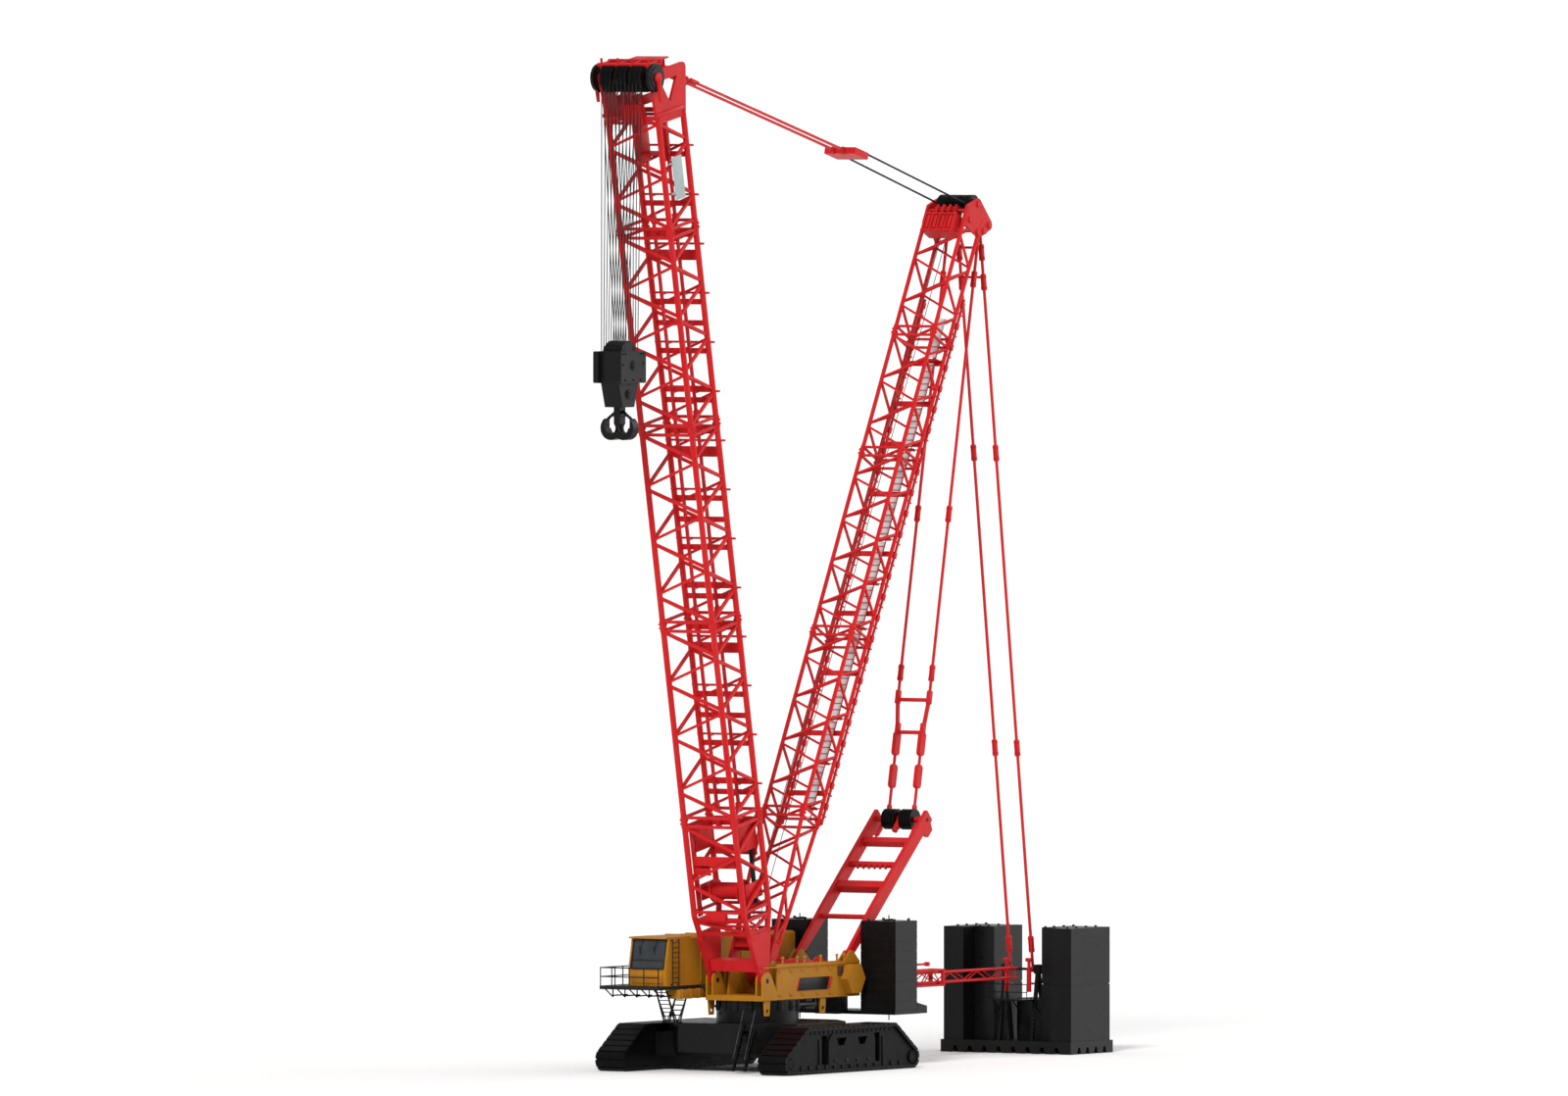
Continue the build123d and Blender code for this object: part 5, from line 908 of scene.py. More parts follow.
# %% [markdown]
# A hook block's cheeks are bolted on, and cover rings close the ends of its axles. Its sheaves show as a
# row of thin discs in its top. Bolts and rings are short stepped rods on the two faces, placed from the
# block's own box, and they share one mesh because they share one finish.

# %% Hook block bolts, rings and sheaves
CHEEK_TOP, CHEEK_FOOT = block_high.z - 0.28, block_high.z - 1.23
BOLTS = (
    (-0.56, 0.08), (-0.42, 0.08), (0.42, 0.08), (0.56, 0.08),
    (-0.56, 0.36), (0.56, 0.4), (-0.4, 0.86), (0, 0.86), (0.45, 0.86),
)
BOLT_RADIUS, BOLT_IN, BOLT_OUT = 0.03, 0.01, 0.025
RING_RADIUS, RING_STEP = 0.15, 0.03
UPPER_RING_UP, LOWER_RING_UP, LOWER_RING_SIDE = 0.05, 0.38, 0.32
BLOCK_SHEAVES, SHEAVE_SPACING, SHEAVE_HALF = 7, 0.09, 0.014
SHEAVE_RADIUS, SHEAVE_DROP = 0.5, 0.466


def ring(mesh, y, z, side):
    """Cover ring on a face that looks along Y: a wide low disc with a smaller one on it."""
    for step, share, tip_share in ((0, 1, 0.94), (1, 0.62, 0.55)):
        near = (block_x, y + side * RING_STEP * step, z)
        far = (block_x, y + side * RING_STEP * (step + 1), z)
        rod(mesh, near, far, RING_RADIUS * share, sides=24, tip=RING_RADIUS * tip_share)


block_bits = bmesh.new()
for side in BOTH_SIDES:
    face = side * block_high.y
    bolt_span = (face - side * BOLT_IN, face + side * BOLT_OUT)
    for dx, drop in BOLTS:
        cross_bar(block_bits, WORLD, block_x + dx, bolt_span, CHEEK_TOP - drop, BOLT_RADIUS, sides=6)
    ring(block_bits, face, (CHEEK_TOP + CHEEK_FOOT) / 2 + UPPER_RING_UP, side)
    ring(block_bits, side * LOWER_RING_SIDE, block_low.z + LOWER_RING_UP, side)
for k in range(BLOCK_SHEAVES):
    y = (k - (BLOCK_SHEAVES - 1) / 2) * SHEAVE_SPACING
    disc_span = (y - SHEAVE_HALF, y + SHEAVE_HALF)
    cross_bar(block_bits, WORLD, block_x, disc_span, block_high.z - SHEAVE_DROP, SHEAVE_RADIUS, sides=32)
piece("hook_block_bolts", block_bits, "sheave_steel", "hook_block")

# %% [markdown]
# The roller box of the mast head has four framed bays with an upright roller in each, brackets on top and
# large pin ends on the head's side plates. The box itself is a CAD solid, and its frames are plates that
# stand on its face.

# %% Mast head rollers
BAYS, BAY_WIDTH = 4, 0.26
ROLLER_FACE, ROLLER_HEIGHT = 0.72, 24.57
BAY_POST, BAY_RAIL, BAY_RAIL_HEIGHTS = (0.07, 0.05, 0.66), (0.08, 1.14, 0.06), (24.29, 24.84)
ROLLER_SPAN, ROLLER_RADIUS, ROLLER_IN = (24.36, 24.78), 0.05, 0.01
HEAD_BRACKETS = (-0.33, -0.11, 0.11, 0.33)
HEAD_BRACKET_X, HEAD_BRACKET_HEIGHT, HEAD_BRACKET_SIZE = 0.34, 25.05, (0.42, 0.06, 0.4)
KNOB_X, KNOB_HEIGHT, KNOB_HALF, KNOB_RADIUS = 0.5, 25.12, 0.06, 0.06
HEAD_PIN_FACE, HEAD_PIN_HALF, HEAD_PIN_RADIUS = 0.76, 0.03, 0.1
HEAD_PINS = ((-0.82, 25.225), (-0.65, 24.925), (0, 25.525), (-0.35, 24.75), (0.2, 24.9))
mast_head_bits = bmesh.new()
for k in range(BAYS + 1):
    y = (k - BAYS / 2) * BAY_WIDTH
    plate(mast_head_bits, MAST, (ROLLER_FACE, y, ROLLER_HEIGHT), BAY_POST)
for z in BAY_RAIL_HEIGHTS:
    plate(mast_head_bits, MAST, (ROLLER_FACE, 0, z), BAY_RAIL)
for k in range(BAYS):
    y = (k - (BAYS - 1) / 2) * BAY_WIDTH
    long_bar(mast_head_bits, MAST, ROLLER_FACE - ROLLER_IN, y, ROLLER_SPAN, ROLLER_RADIUS, sides=12)
for y in HEAD_BRACKETS:
    knob_span = (y - KNOB_HALF, y + KNOB_HALF)
    plate(mast_head_bits, MAST, (HEAD_BRACKET_X, y, HEAD_BRACKET_HEIGHT), HEAD_BRACKET_SIZE, edge=0.02)
    cross_bar(mast_head_bits, MAST, KNOB_X, knob_span, KNOB_HEIGHT, KNOB_RADIUS, sides=12)
for y in (-HEAD_PIN_FACE, HEAD_PIN_FACE):
    pin_span = (y - HEAD_PIN_HALF, y + HEAD_PIN_HALF)
    for x, z in HEAD_PINS:
        cross_bar(mast_head_bits, MAST, x, pin_span, z, HEAD_PIN_RADIUS, sides=16)
piece("mast_head_rollers", mast_head_bits, "red_paint", "upper")

# %% [markdown]
# A set of sheaves is a row of thin wheels on one axle, and the dark gaps between them are what one sees.
# The CAD drums have no gaps. Cutting grooves would mean replacing them, so thin discs that stand proud of
# each drum are added instead.

# %% Sheave discs
DISC_HALF = 0.012
MAST_SPANS = ((0.38, 0.58), (-0.58, -0.38), (-0.26, 0.26))
AFRAME_SPANS = ((0.11, 0.51), (-0.51, -0.11))
BOOM_SPANS = ((-0.72, -0.32), (-0.2, 0.2), (0.32, 0.72))


def discs(name, node, spans, count, radius, body):
    """Thin discs about the axle of a CAD sheave node, spread over spans of Y."""
    axle = middle(node)
    made = bmesh.new()
    for first, last in spans:
        for k in range(count):
            y = first + (last - first) * k / (count - 1)
            cross_bar(made, WORLD, axle.x, (y - DISC_HALF, y + DISC_HALF), axle.z, radius, sides=32)
    piece(name, made, "sheave_steel", body)


discs("mast_sheave_discs", "mast_head_sheaves", MAST_SPANS, count=6, radius=0.28, body="upper")
discs("aframe_sheave_discs", "a_frame_sheaves", AFRAME_SPANS, count=5, radius=0.315, body="upper")
discs("boom_sheave_discs", "boom_head_sheaves", BOOM_SPANS, count=7, radius=0.43, body="hoist_falls")

# %% [markdown]
# Outside the boom head's two cheeks runs one more large sheave on each side, with a red cap on its axle
# and a tapered arm below. They lie on the axle of the CAD sheaves, so their place is worked out from it.

# %% Outer sheaves of the boom head
OUTER_SIDE = BOOM_SIDE + 0.06
WHEEL_WIDTH, WHEEL_RADIUS, WHEEL_RIM = 0.1, 0.44, 0.42
DISH_WIDTH, DISH_RADIUS, DISH_RIM = 0.03, 0.34, 0.32
AXLE_CAP_WIDTH, AXLE_CAP_RADIUS = 0.1, 0.15
ARM_OUT, ARM_DROP, ARM_RADIUS, ARM_TIP = 0.16, Vector((-0.12, 0, -0.72)), 0.085, 0.05
outer_sheaves = bmesh.new()
head_bits = bmesh.new()
for side in BOTH_SIDES:
    out = Vector((0, side, 0))
    hub = Vector((head_axle.x, side * OUTER_SIDE, head_axle.z))
    wheel_face = hub + out * WHEEL_WIDTH
    arm = hub + out * ARM_OUT
    rod(outer_sheaves, hub, wheel_face, WHEEL_RADIUS, sides=36, tip=WHEEL_RIM)
    rod(outer_sheaves, wheel_face, wheel_face + out * DISH_WIDTH, DISH_RADIUS, sides=36, tip=DISH_RIM)
    rod(head_bits, wheel_face, wheel_face + out * AXLE_CAP_WIDTH, AXLE_CAP_RADIUS, sides=24)
    rod(head_bits, arm, arm + ARM_DROP, ARM_RADIUS, sides=12, tip=ARM_TIP)
piece("boom_outer_sheaves", outer_sheaves, "sheave_steel", "boom")

# %% [markdown]
# The boom head is closed by ribs, brackets and cross beams, with inner plates that run down into the
# lattice. Each is a bevelled plate, measured from the boom's end, so that all of them move if the boom
# gets longer.

# %% Brackets on the boom head
CHEEK_STRIP, CHEEK_STRIP_SIDE = (1.5, 0.04, 0.12), BOOM_SIDE + 0.07
INNER_SIDE, INNER_PLATE = 0.36, (0.6, 0.035, 1.5)
INNER_FLOOR, FRONT_BOX = (0.5, 2 * INNER_SIDE, 0.05), (0.2, 0.7, 0.6)
HEAD_RIBS, HEAD_RIB = (-0.45, -0.2, 0.1, 0.4), (0.6, 0.04, 0.3)
TOP_BRACKETS, TOP_BRACKET = (-0.84, -0.26, 0.26, 0.84), (0.75, 0.08, 0.16)
TOP_BEAMS, TOP_BEAM = (0.25, 0.84), (0.1, 1.9, 0.12)
TOP_POST_X, TOP_POST_RADIUS = 0.78, 0.04
TOP_POST_SPAN = (BOOM_LENGTH + 1.68, BOOM_LENGTH + 1.85)


def head_plate(x, y, up, size, edge):
    """Plate at a height above the boom's end."""
    plate(head_bits, BOOM, (x, y, BOOM_LENGTH + up), size, edge)


for side in BOTH_SIDES:
    head_plate(x=0.1, y=side * CHEEK_STRIP_SIDE, up=0.1, size=CHEEK_STRIP, edge=0.015)
    head_plate(x=-0.28, y=side * INNER_SIDE, up=-0.75, size=INNER_PLATE, edge=0.01)
head_plate(x=-0.28, y=0, up=-1.25, size=INNER_FLOOR, edge=0.01)
head_plate(x=0.75, y=0.1, up=0.15, size=FRONT_BOX, edge=0.03)
for y in HEAD_RIBS:
    head_plate(x=0.5, y=y, up=0.55, size=HEAD_RIB, edge=0.01)
for y in TOP_BRACKETS:
    head_plate(x=0.5, y=y, up=1.62, size=TOP_BRACKET, edge=0.02)
    long_bar(head_bits, BOOM, TOP_POST_X, y, TOP_POST_SPAN, TOP_POST_RADIUS)
for x in TOP_BEAMS:
    head_plate(x=x, y=0, up=1.66, size=TOP_BEAM, edge=0.02)
piece("boom_head_brackets", head_bits, "red_paint", "boom")

# %% [markdown]
# The cab's windscreen leans and sits in a dark rubber seal, with two wipers that hang from its top edge.
# A helper turns a share of its width and height into a point on the leaning pane, so that seal and wipers
# can be drawn as if on flat glass.

# %% Cab seal and wipers
glass_low, glass_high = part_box("cab_glass")
CORNERS = ((0, 0), (1, 0), (1, 1), (0, 1))
SEAL_OUT, SEAL_RADIUS = 0.03, 0.022
BAR_SHARE = 0.3
WIPERS, WIPER_BAR = (0.28, 0.72), 0.011
WIPER_ARM, WIPER_ARM_OUT = ((0, 1), (-0.06, 0.62)), 0.05
WIPER_BLADE, WIPER_BLADE_OUT = ((-0.1, 0.78), (-0.03, 0.5)), 0.045
MOTOR_SHARE, MOTOR_OUT, MOTOR_RADIUS = 1.01, 0.07, 0.03


def screen_point(share_y, share_z, out):
    """Point in front of the leaning windscreen, whose foot is at its front and whose top is at its back."""
    x = glass_high.x + (glass_low.x - glass_high.x) * share_z + out
    y = glass_low.y + (glass_high.y - glass_low.y) * share_y
    return Vector((x, y, glass_low.z + (glass_high.z - glass_low.z) * share_z))


seal = bmesh.new()
for first, last in zip(CORNERS, CORNERS[1:] + CORNERS[:1]):
    rod(seal, screen_point(*first, SEAL_OUT), screen_point(*last, SEAL_OUT), SEAL_RADIUS, sides=8)
rod(seal, screen_point(0, BAR_SHARE, SEAL_OUT), screen_point(1, BAR_SHARE, SEAL_OUT), MIDDLE_BAR, sides=8)
for share in WIPERS:
    arm_top, arm_foot = (screen_point(share + along, up, WIPER_ARM_OUT) for along, up in WIPER_ARM)
    blade_top, blade_foot = (screen_point(share + along, up, WIPER_BLADE_OUT) for along, up in WIPER_BLADE)
    rod(seal, arm_top, arm_foot, WIPER_BAR, sides=6)
    rod(seal, blade_top, blade_foot, MIDDLE_BAR, sides=6)
    motor_back, motor_front = (screen_point(share, MOTOR_SHARE, out) for out in (0, MOTOR_OUT))
    rod(seal, motor_back, motor_front, MOTOR_RADIUS)
piece("cab_seal_and_wipers", seal, "seat_plastic", "upper")

# %% [markdown]
# A ladder goes up the side of the cab, and struts carry the walkway in front of it from below. Both are
# welded from round bar, so rods are the natural way to make them.

# %% Cab ladder and walkway struts
shell_low, shell_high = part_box("cab_shell")
deck_low, deck_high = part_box("side_deck")
STILES, STILE_Y, STILE_RADIUS = (2.5, 2.85), shell_high.y + 0.07, 0.016
STILE_SPAN, STILE_TIES = (shell_low.z - 0.05, shell_high.z - 0.05), (shell_low.z + 0.05, shell_high.z - 0.1)
TIE_IN = 0.02
CAB_RUNGS, CAB_RUNG_SPACING, CAB_FIRST_RUNG = 9, 0.15, shell_low.z + 0.1
STRUTS, STRUT_RADIUS, STRUT_RUN, STRUT_BACK = 5, 0.022, 0.44, 0.8
STRUT_TOP, STRUT_FOOT, STRUT_BEAM = deck_low.z + 0.02, deck_low.z - 0.24, deck_low.z - 0.2
FIRST_STRUT, STRUT_ROW = deck_low.y + 0.15, deck_high.y - deck_low.y - 0.6
ladder = bmesh.new()
for x in STILES:
    long_bar(ladder, WORLD, x, STILE_Y, STILE_SPAN, STILE_RADIUS, sides=8)
    for z in STILE_TIES:
        cross_bar(ladder, WORLD, x, (STILE_Y, shell_high.y - TIE_IN), z, MIDDLE_BAR, sides=6)
for k in range(CAB_RUNGS):
    z = CAB_FIRST_RUNG + CAB_RUNG_SPACING * k
    rod(ladder, (STILES[0], STILE_Y, z), (STILES[1], STILE_Y, z), THIN_BAR, sides=6)
toe_x = deck_high.x - 0.06
knee_x = toe_x - STRUT_RUN
for k in range(STRUTS):
    y = FIRST_STRUT + k * STRUT_ROW / (STRUTS - 1)
    rod(ladder, (toe_x, y, STRUT_TOP), (knee_x, y, STRUT_FOOT), STRUT_RADIUS, sides=6)
    rod(ladder, (knee_x, y, STRUT_FOOT), (knee_x, y, STRUT_TOP), STRUT_RADIUS, sides=6)
    rod(ladder, (knee_x, y, STRUT_BEAM), (knee_x - STRUT_BACK, y, STRUT_BEAM), STRUT_RADIUS, sides=6)
piece("cab_ladder_and_struts", ladder, "dark_paint", "upper")

# %% [markdown]
# The machinery house is made of doors and panels with narrow strips between them, and the cab has a sill
# below its windscreen and a visor above it. Thin plates stand a little proud of the CAD walls, so that
# the panel joints catch light and shade, which a painted line wouldn't.

# %% House panels and cab sill
house_low, house_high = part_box("machinery_house")
PANEL_JOINTS = (-3.2, -2.1, -1.0, 0.1, 1.2)
SILL_SIZE, SILL_OUT, SILL_UP = (0.03, 1.1, 0.34), 0.012, 0.25
VISOR_SIZE, VISOR_IN, VISOR_DROP = (0.2, 1.34, 0.05), 0.09, 0.03
JOINT_STRIP, JOINT_STRIP_OUT = (0.05, 0.025, 1.3), 0.008
DOOR_SIZE, DOOR_OUT, DOOR_BACK = (0.96, 0.03, 1.2), 0.012, 0.5
ROOF_STRIP, ROOF_STRIP_UP = (0.06, 1.2, 0.04), 0.01
house_y, house_z = middle("machinery_house").yz
glass_y = middle("cab_glass").y
sill_place = (shell_high.x + SILL_OUT, glass_y, shell_low.z + SILL_UP)
visor_place = (shell_high.x - VISOR_IN, glass_y, shell_high.z - VISOR_DROP)
panels = bmesh.new()
plate(panels, WORLD, sill_place, SILL_SIZE, edge=0.01)
plate(panels, WORLD, visor_place, VISOR_SIZE, edge=0.015)
for x in PANEL_JOINTS:
    plate(panels, WORLD, (x, house_high.y + JOINT_STRIP_OUT, house_z), JOINT_STRIP)
    plate(panels, WORLD, (x - DOOR_BACK, house_low.y - DOOR_OUT, house_z), DOOR_SIZE, edge=0.012)
    plate(panels, WORLD, (x, house_y, house_high.z + ROOF_STRIP_UP), ROOF_STRIP, edge=0.01)
piece("house_panels", panels, "yellow_paint", "upper")

# %% [markdown]
# On the outer side of the house, the rear doors have louvres for cooling air and the front ones have
# handles. Such a machine has them there, and a row of bevelled slats reads as a louvre from any distance.

# %% House louvres and handles
LOUVRED_DOORS, HANDLED_DOORS = (-3.7, -2.6, -1.5), (-0.05, 1.05)
SLATS, SLAT_SPACING, FIRST_SLAT = 9, 0.07, house_low.z + 0.55
SLAT_SIZE, SLAT_Y = (0.66, 0.03, 0.03), house_low.y - 0.03
HANDLE_HEIGHTS = (house_low.z + 0.6, house_low.z + 0.8)
HANDLE_Y, HANDLE_SPAN = house_low.y - 0.05, (house_low.y, house_low.y - 0.055)
louvres = bmesh.new()
for x in LOUVRED_DOORS:
    for k in range(SLATS):
        plate(louvres, WORLD, (x, SLAT_Y, FIRST_SLAT + SLAT_SPACING * k), SLAT_SIZE, edge=0.008)
for x in HANDLED_DOORS:
    long_bar(louvres, WORLD, x, HANDLE_Y, HANDLE_HEIGHTS, MIDDLE_BAR, sides=8)
    for z in HANDLE_HEIGHTS:
        cross_bar(louvres, WORLD, x, HANDLE_SPAN, z, THIN_BAR, sides=8)
piece("house_louvres", louvres, "seat_plastic", "upper")

# %% [markdown]
# Below the walkway hangs a pair of access ladders that meet in a V on a small landing. Their stiles look
# thicker than the thin CAD bars, so they get rods of their own over them, with rungs on the front ladder.

# %% Hanging ladders
hang_low, hang_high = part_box("hanging_ladder")
HANG_STILE, HANG_STILE_IN, HANG_SIDE_IN, HANG_RUNGS = 0.028, 0.05, 0.02, 8
LANDING_HALF, LANDING_LENGTH, LANDING_THICK, LANDING_DROP = 0.14, 0.46, 0.03, 0.005
hang_sides = (hang_low.y + HANG_SIDE_IN, hang_high.y - HANG_SIDE_IN)
hang_x, hang_y = middle("hanging_ladder").xy
landing_z, ladder_top = hang_low.z + 0.03, hang_high.z - 0.02
landing_size = (LANDING_LENGTH, hang_high.y - hang_low.y + 0.02, LANDING_THICK)
rear_top = Vector((hang_low.x + HANG_STILE_IN, 0, ladder_top))
rear_foot = Vector((hang_x - LANDING_HALF, 0, landing_z))
front_top = Vector((hang_high.x - HANG_STILE_IN, 0, ladder_top))
front_foot = Vector((hang_x + LANDING_HALF, 0, landing_z))
ladders = bmesh.new()
for y in hang_sides:
    across = Vector((0, y, 0))
    rod(ladders, rear_top + across, rear_foot + across, HANG_STILE, sides=8)
    rod(ladders, front_top + across, front_foot + across, HANG_STILE, sides=8)
for k in range(HANG_RUNGS):
    rung = front_top.lerp(front_foot, (k + 0.5) / HANG_RUNGS)
    cross_bar(ladders, WORLD, rung.x, hang_sides, rung.z, MIDDLE_BAR, sides=6)
plate(ladders, WORLD, (hang_x, hang_y, landing_z - LANDING_DROP), landing_size)
piece("hanging_ladder_frames", ladders, "dark_paint", "upper")

# %% [markdown]
# A yellow box beam with ribs carries the walkway along its inner edge, and grille slats close the
# girder's rear cover. Both are rows of plates: the beam hangs under the deck's box, and the slats lie on
# the girder's face.

# %% Deck beam and girder grille
BEAM_MIDDLE, BEAM_SIZE = 1.67, (1.66, 0.46, 0.27)
BEAM_Y, BEAM_HEIGHT = hang_high.y - 0.1, deck_low.z - 0.14
DECK_RIBS, FIRST_DECK_RIB, DECK_RIB_SPACING, DECK_RIB_SIZE = 4, 1.0, 0.45, (0.04, 0.5, 0.3)
GRILLE_SLATS, GRILLE_FOOT, GRILLE_SPACING = 6, 2.76, 0.05
GRILLE_X, GRILLE_Y, GRILLE_SLAT = -2.98, GIRDER_FACE + 0.012, (0.3, 0.035, 0.026)
deck_beam = bmesh.new()
plate(deck_beam, WORLD, (BEAM_MIDDLE, BEAM_Y, BEAM_HEIGHT), BEAM_SIZE, edge=0.015)
for k in range(DECK_RIBS):
    x = FIRST_DECK_RIB + DECK_RIB_SPACING * k
    plate(deck_beam, WORLD, (x, BEAM_Y, BEAM_HEIGHT), DECK_RIB_SIZE, edge=0.008)
piece("deck_beam", deck_beam, "yellow_paint", "upper")
grille = bmesh.new()
for k in range(GRILLE_SLATS):
    plate(grille, WORLD, (GRILLE_X, GRILLE_Y, GRILLE_FOOT + GRILLE_SPACING * k), GRILLE_SLAT)
piece("girder_grille", grille, "seat_plastic", "upper")

# %% [markdown]
# Slewing drives stand round the turntable and turn the upper works on the carrier. A long black cylinder
# lies under the left girder. The drives are all alike, so one loop sets them on a circle just inside the
# turntable's edge.

# %% Slewing drives
DRIVES, DRIVE_RADIUS, DRIVE_FLANGE = 16, 0.09, 0.12
DRIVE_CIRCLE = 1.19
DRIVE_FOOT, DRIVE_TOP = 1.78, 2.09
DRIVE_FLANGE_SPAN = (DRIVE_FOOT + 0.09, DRIVE_FOOT + 0.15)
RAM_Y, RAM_Z = 0.93, 1.93
RAM_REAR, RAM_NECK, RAM_FRONT = -1.7, -0.5, 0.3
RAM_BARREL, RAM_ROD = 0.09, 0.055
HANGER_SIZE, HANGER_UP = (0.1, 0.1, 0.2), 0.09
drives = bmesh.new()
for k in range(DRIVES):
    a = 2 * pi * k / DRIVES
    x, y = DRIVE_CIRCLE * cos(a), DRIVE_CIRCLE * sin(a)
    long_bar(drives, WORLD, x, y, (DRIVE_FOOT, DRIVE_TOP), DRIVE_RADIUS, sides=12)
    long_bar(drives, WORLD, x, y, DRIVE_FLANGE_SPAN, DRIVE_FLANGE, sides=12)
barrel_end = (RAM_NECK, RAM_Y, RAM_Z)
rod(drives, (RAM_REAR, RAM_Y, RAM_Z), barrel_end, RAM_BARREL, sides=16)
rod(drives, barrel_end, (RAM_FRONT, RAM_Y, RAM_Z), RAM_ROD, sides=12)
for x in (RAM_REAR, RAM_FRONT):
    plate(drives, WORLD, (x, RAM_Y, RAM_Z + HANGER_UP), HANGER_SIZE, edge=0.015)
piece("slewing_drives", drives, "dark_paint", "upper")

# %% [markdown]
# The track frames carry small rollers along their tops, larger ones along their feet, upright ribs, lugs,
# and bolts round the hubs of the end drums. They have no joints, so one mesh for both frames is enough.
# Each row is centred on the middle of the track.

# %% Rollers and bolts on the track frames
# Rows of rollers: count, spacing, height, radius, reach out of the face, sides
TOP_ROLLERS = (19, 0.24, 1.215, 0.045, 0.02, 12)
FOOT_ROLLERS = (13, 0.45, 0.2, 0.075, 0.03, 14)
RIB_PLACES, RIB_SIZE, RIB_OUT, RIB_HEIGHT = (-1.75, -1.15, 1.15, 1.75), (0.05, 0.05, 0.8), 0.005, 0.62
LUG_PLACES, LUG_SIZE, LUG_OUT, LUG_HEIGHT = (-0.9, -0.3, 0.3, 0.9), (0.16, 0.03, 0.09), 0.045, 0.36
HUB_X, HUB_Z, HUB_BOLTS, BOLT_CIRCLE = 3.36, 0.34, 10, 0.145
HUB_BOLT_RADIUS, HUB_BOLT_IN, HUB_BOLT_OUT = 0.02, 0.04, 0.065
FACE_IN = 0.05
track_bits = bmesh.new()
for node in ("left_crawler_frame", "right_crawler_frame"):
    low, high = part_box(node)
    side = 1 if low.y > 0 else -1
    face = side * (max(abs(low.y), abs(high.y)) - FACE_IN)
    for count, spacing, z, radius, proud, sides in (TOP_ROLLERS, FOOT_ROLLERS):
        for k in range(count):
            x = (k - (count - 1) / 2) * spacing
            cross_bar(track_bits, WORLD, x, (face - side * FACE_IN, face + side * proud), z, radius, sides)
    for x in RIB_PLACES:
        plate(track_bits, WORLD, (x, face + side * RIB_OUT, RIB_HEIGHT), RIB_SIZE, edge=0.012)
    for x in LUG_PLACES:
        plate(track_bits, WORLD, (x, face + side * LUG_OUT, LUG_HEIGHT), LUG_SIZE, edge=0.012)
    bolt_span = (face + side * HUB_BOLT_IN, face + side * HUB_BOLT_OUT)
    for end in BOTH_SIDES:
        for k in range(HUB_BOLTS):
            a = 2 * pi * k / HUB_BOLTS
            x, z = end * HUB_X + BOLT_CIRCLE * cos(a), HUB_Z + BOLT_CIRCLE * sin(a)
            cross_bar(track_bits, WORLD, x, bolt_span, z, HUB_BOLT_RADIUS, sides=6)
piece("track_frame_rollers", track_bits, "track_steel", "carrier")

# %% [markdown]
# The access stair leans against the carrier, and each of its sides has a handrail on four posts. The rail
# keeps the same height above the stair all the way up, so it runs between two raised corners of the
# stair's box.

# %% Stair handrails
stair_low, stair_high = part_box("access_stair")
RAIL_RISE, RAIL_IN, RAIL_SIDE_IN = 0.42, 0.04, 0.03
POST_LENGTH, POST_SHARES = 0.4, (0.08, 0.36, 0.64, 0.92)
stair = bmesh.new()
for y in (stair_low.y + RAIL_SIDE_IN, stair_high.y - RAIL_SIDE_IN):
    rail_foot = Vector((stair_high.x - RAIL_IN, y, RAIL_RISE))
    rail_top = Vector((stair_low.x + RAIL_IN, y, stair_high.z + RAIL_RISE))
    rod(stair, rail_foot, rail_top, MIDDLE_BAR, sides=8)
    for share in POST_SHARES:
        post = rail_foot.lerp(rail_top, share)
        long_bar(stair, WORLD, post.x, y, (post.z - POST_LENGTH, post.z), THIN_BAR, sides=6)
piece("stair_handrails", stair, "dark_paint", "carrier")

# %% [markdown]
# Small fittings finish the A-frame: a red arm between its two sheave blocks, rods that hang from its
# head, a beam with a row of lugs across its legs, and pin ends on the outside of the legs. The head's
# fittings are placed from the axle of its CAD sheaves, and the beam in the leaning frame of the legs.

# %% A-frame fittings
RED_ARM_TOP, RED_ARM_FOOT, RED_ARM = Vector((-0.12, 0, 0.2)), Vector((0.35, 0, -0.35)), 0.09
HANGING_ROD, HANGING_X, HANGING_SIDE, HANGING_DROP = 0.035, 0.1, 0.6, 0.12
HANGING_RUN, TIP_RUN = Vector((0.42, 0, -0.5)), Vector((0.08, 0, -0.1))
TIP_RADIUS, TIP_END = 0.06, 0.03
LUG_BEAM, LUG_BEAM_X, LUG_BEAM_SIZE = 3.86, 0.02, (0.14, 1.72, 0.16)
BEAM_LUGS, BEAM_LUG_SPACING, BEAM_LUG_SIZE = 6, 0.2, (0.1, 0.06, 0.14)
BEAM_LUG_X, BEAM_LUG_DROP = 0.06, 0.13
LEG_PIN_OUT, LEG_PIN_RADIUS = 0.012, 0.055
aframe_axle = middle("a_frame_sheaves")
aframe_bits = bmesh.new()
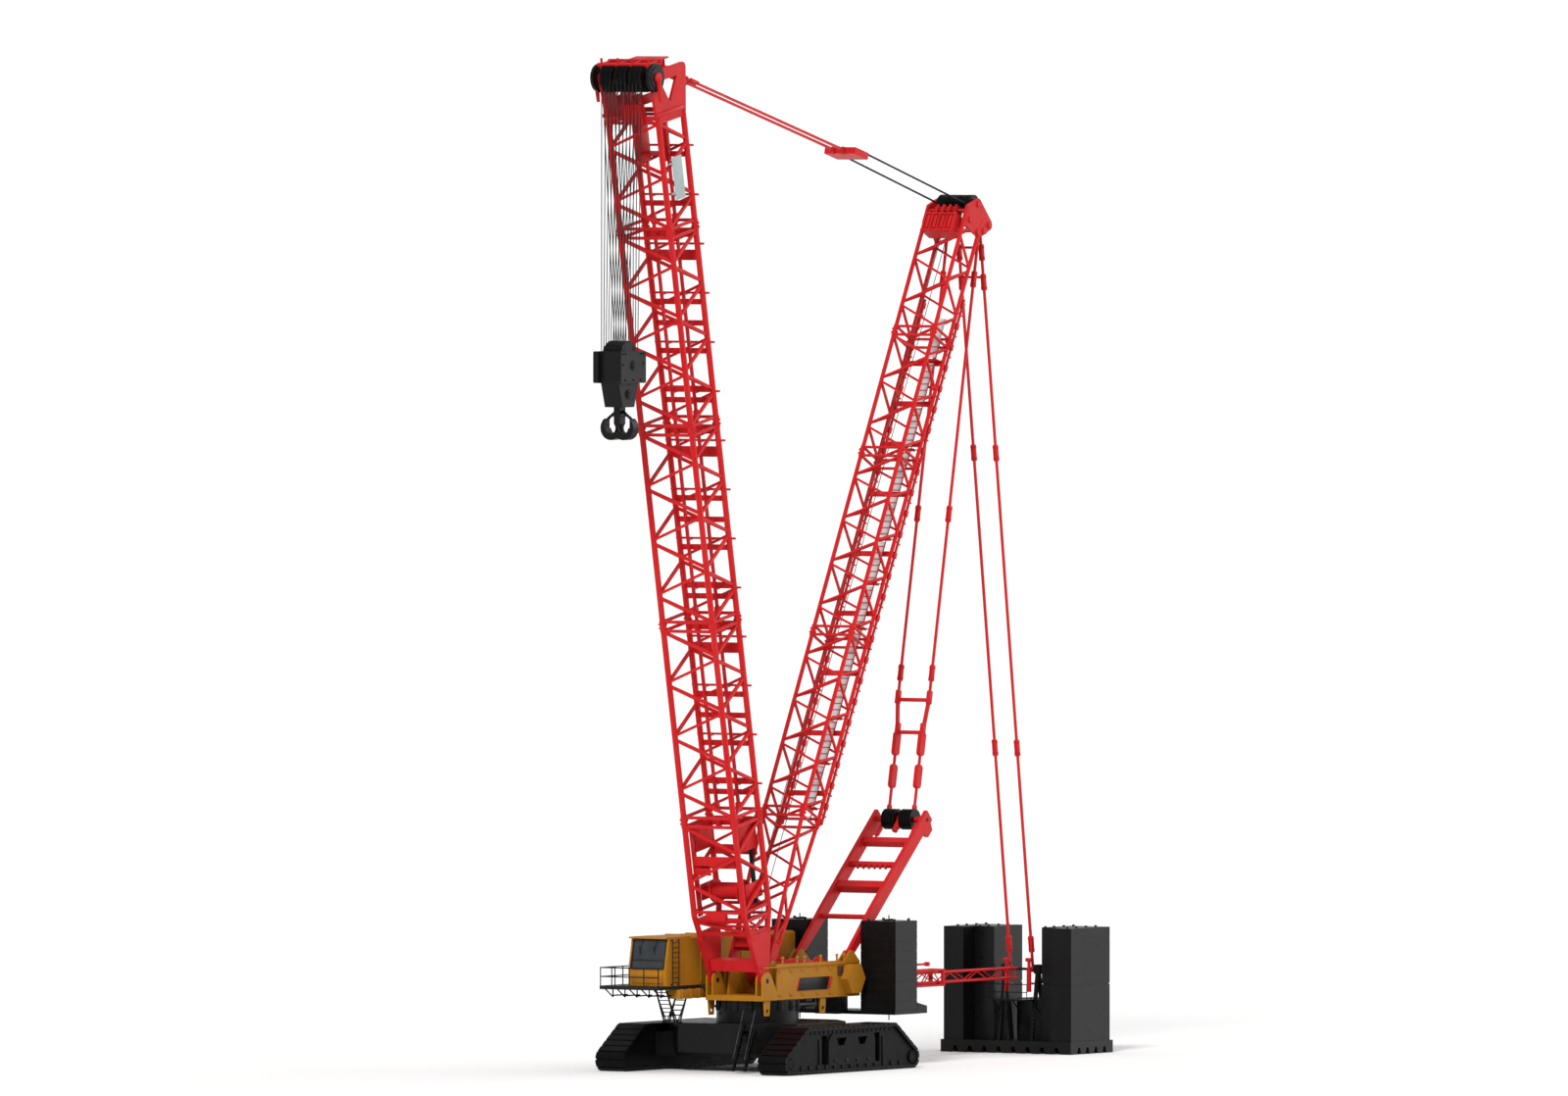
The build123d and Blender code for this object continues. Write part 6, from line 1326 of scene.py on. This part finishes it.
rod(aframe_bits, aframe_axle + RED_ARM_TOP, aframe_axle + RED_ARM_FOOT, RED_ARM, sides=12)
for side in BOTH_SIDES:
    hang = aframe_axle + Vector((HANGING_X, side * HANGING_SIDE, -HANGING_DROP))
    drop = hang + HANGING_RUN
    rod(aframe_bits, hang, drop, HANGING_ROD)
    rod(aframe_bits, drop, drop + TIP_RUN, TIP_RADIUS, tip=TIP_END)
plate(aframe_bits, AFRAME, (LUG_BEAM_X, 0, LUG_BEAM), LUG_BEAM_SIZE, edge=0.02)
for k in range(BEAM_LUGS):
    y = (k - (BEAM_LUGS - 1) / 2) * BEAM_LUG_SPACING
    plate(aframe_bits, AFRAME, (BEAM_LUG_X, y, LUG_BEAM - BEAM_LUG_DROP), BEAM_LUG_SIZE, edge=0.012)
piece("a_frame_fittings", aframe_bits, "red_paint", "upper")
leg_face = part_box("a_frame")[1].y
leg_pins = bmesh.new()
for side in BOTH_SIDES:
    pin_span = (side * leg_face, side * (leg_face + LEG_PIN_OUT))
    cross_bar(leg_pins, WORLD, aframe_axle.x, pin_span, aframe_axle.z, LEG_PIN_RADIUS, sides=16)
piece("a_frame_pin_ends", leg_pins, "sheave_steel", "upper")

# %% [markdown]
# Two slanted guards run from the hook's shank to its two points and keep a sling from slipping out. At
# rest the hook's width lies along Y, and its box gives the points from which the guards are measured.

# %% Hook guards
hook_low, hook_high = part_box("hook")
GUARD_TOP_OUT, GUARD_TOP_DROP = 0.12, 0.12
GUARD_FOOT_IN, GUARD_FOOT_UP = 0.16, 0.62
GUARD_RADIUS = 0.045
hook_x, hook_y = middle("hook").xy
hook_half = (hook_high.y - hook_low.y) / 2
guards = bmesh.new()
for side in BOTH_SIDES:
    guard_top = (hook_x, hook_y + side * GUARD_TOP_OUT, hook_high.z - GUARD_TOP_DROP)
    guard_foot = (hook_x, hook_y + side * (hook_half - GUARD_FOOT_IN), hook_low.z + GUARD_FOOT_UP)
    rod(guards, guard_top, guard_foot, GUARD_RADIUS)
piece("hook_guards", guards, "dark_paint", "hook")
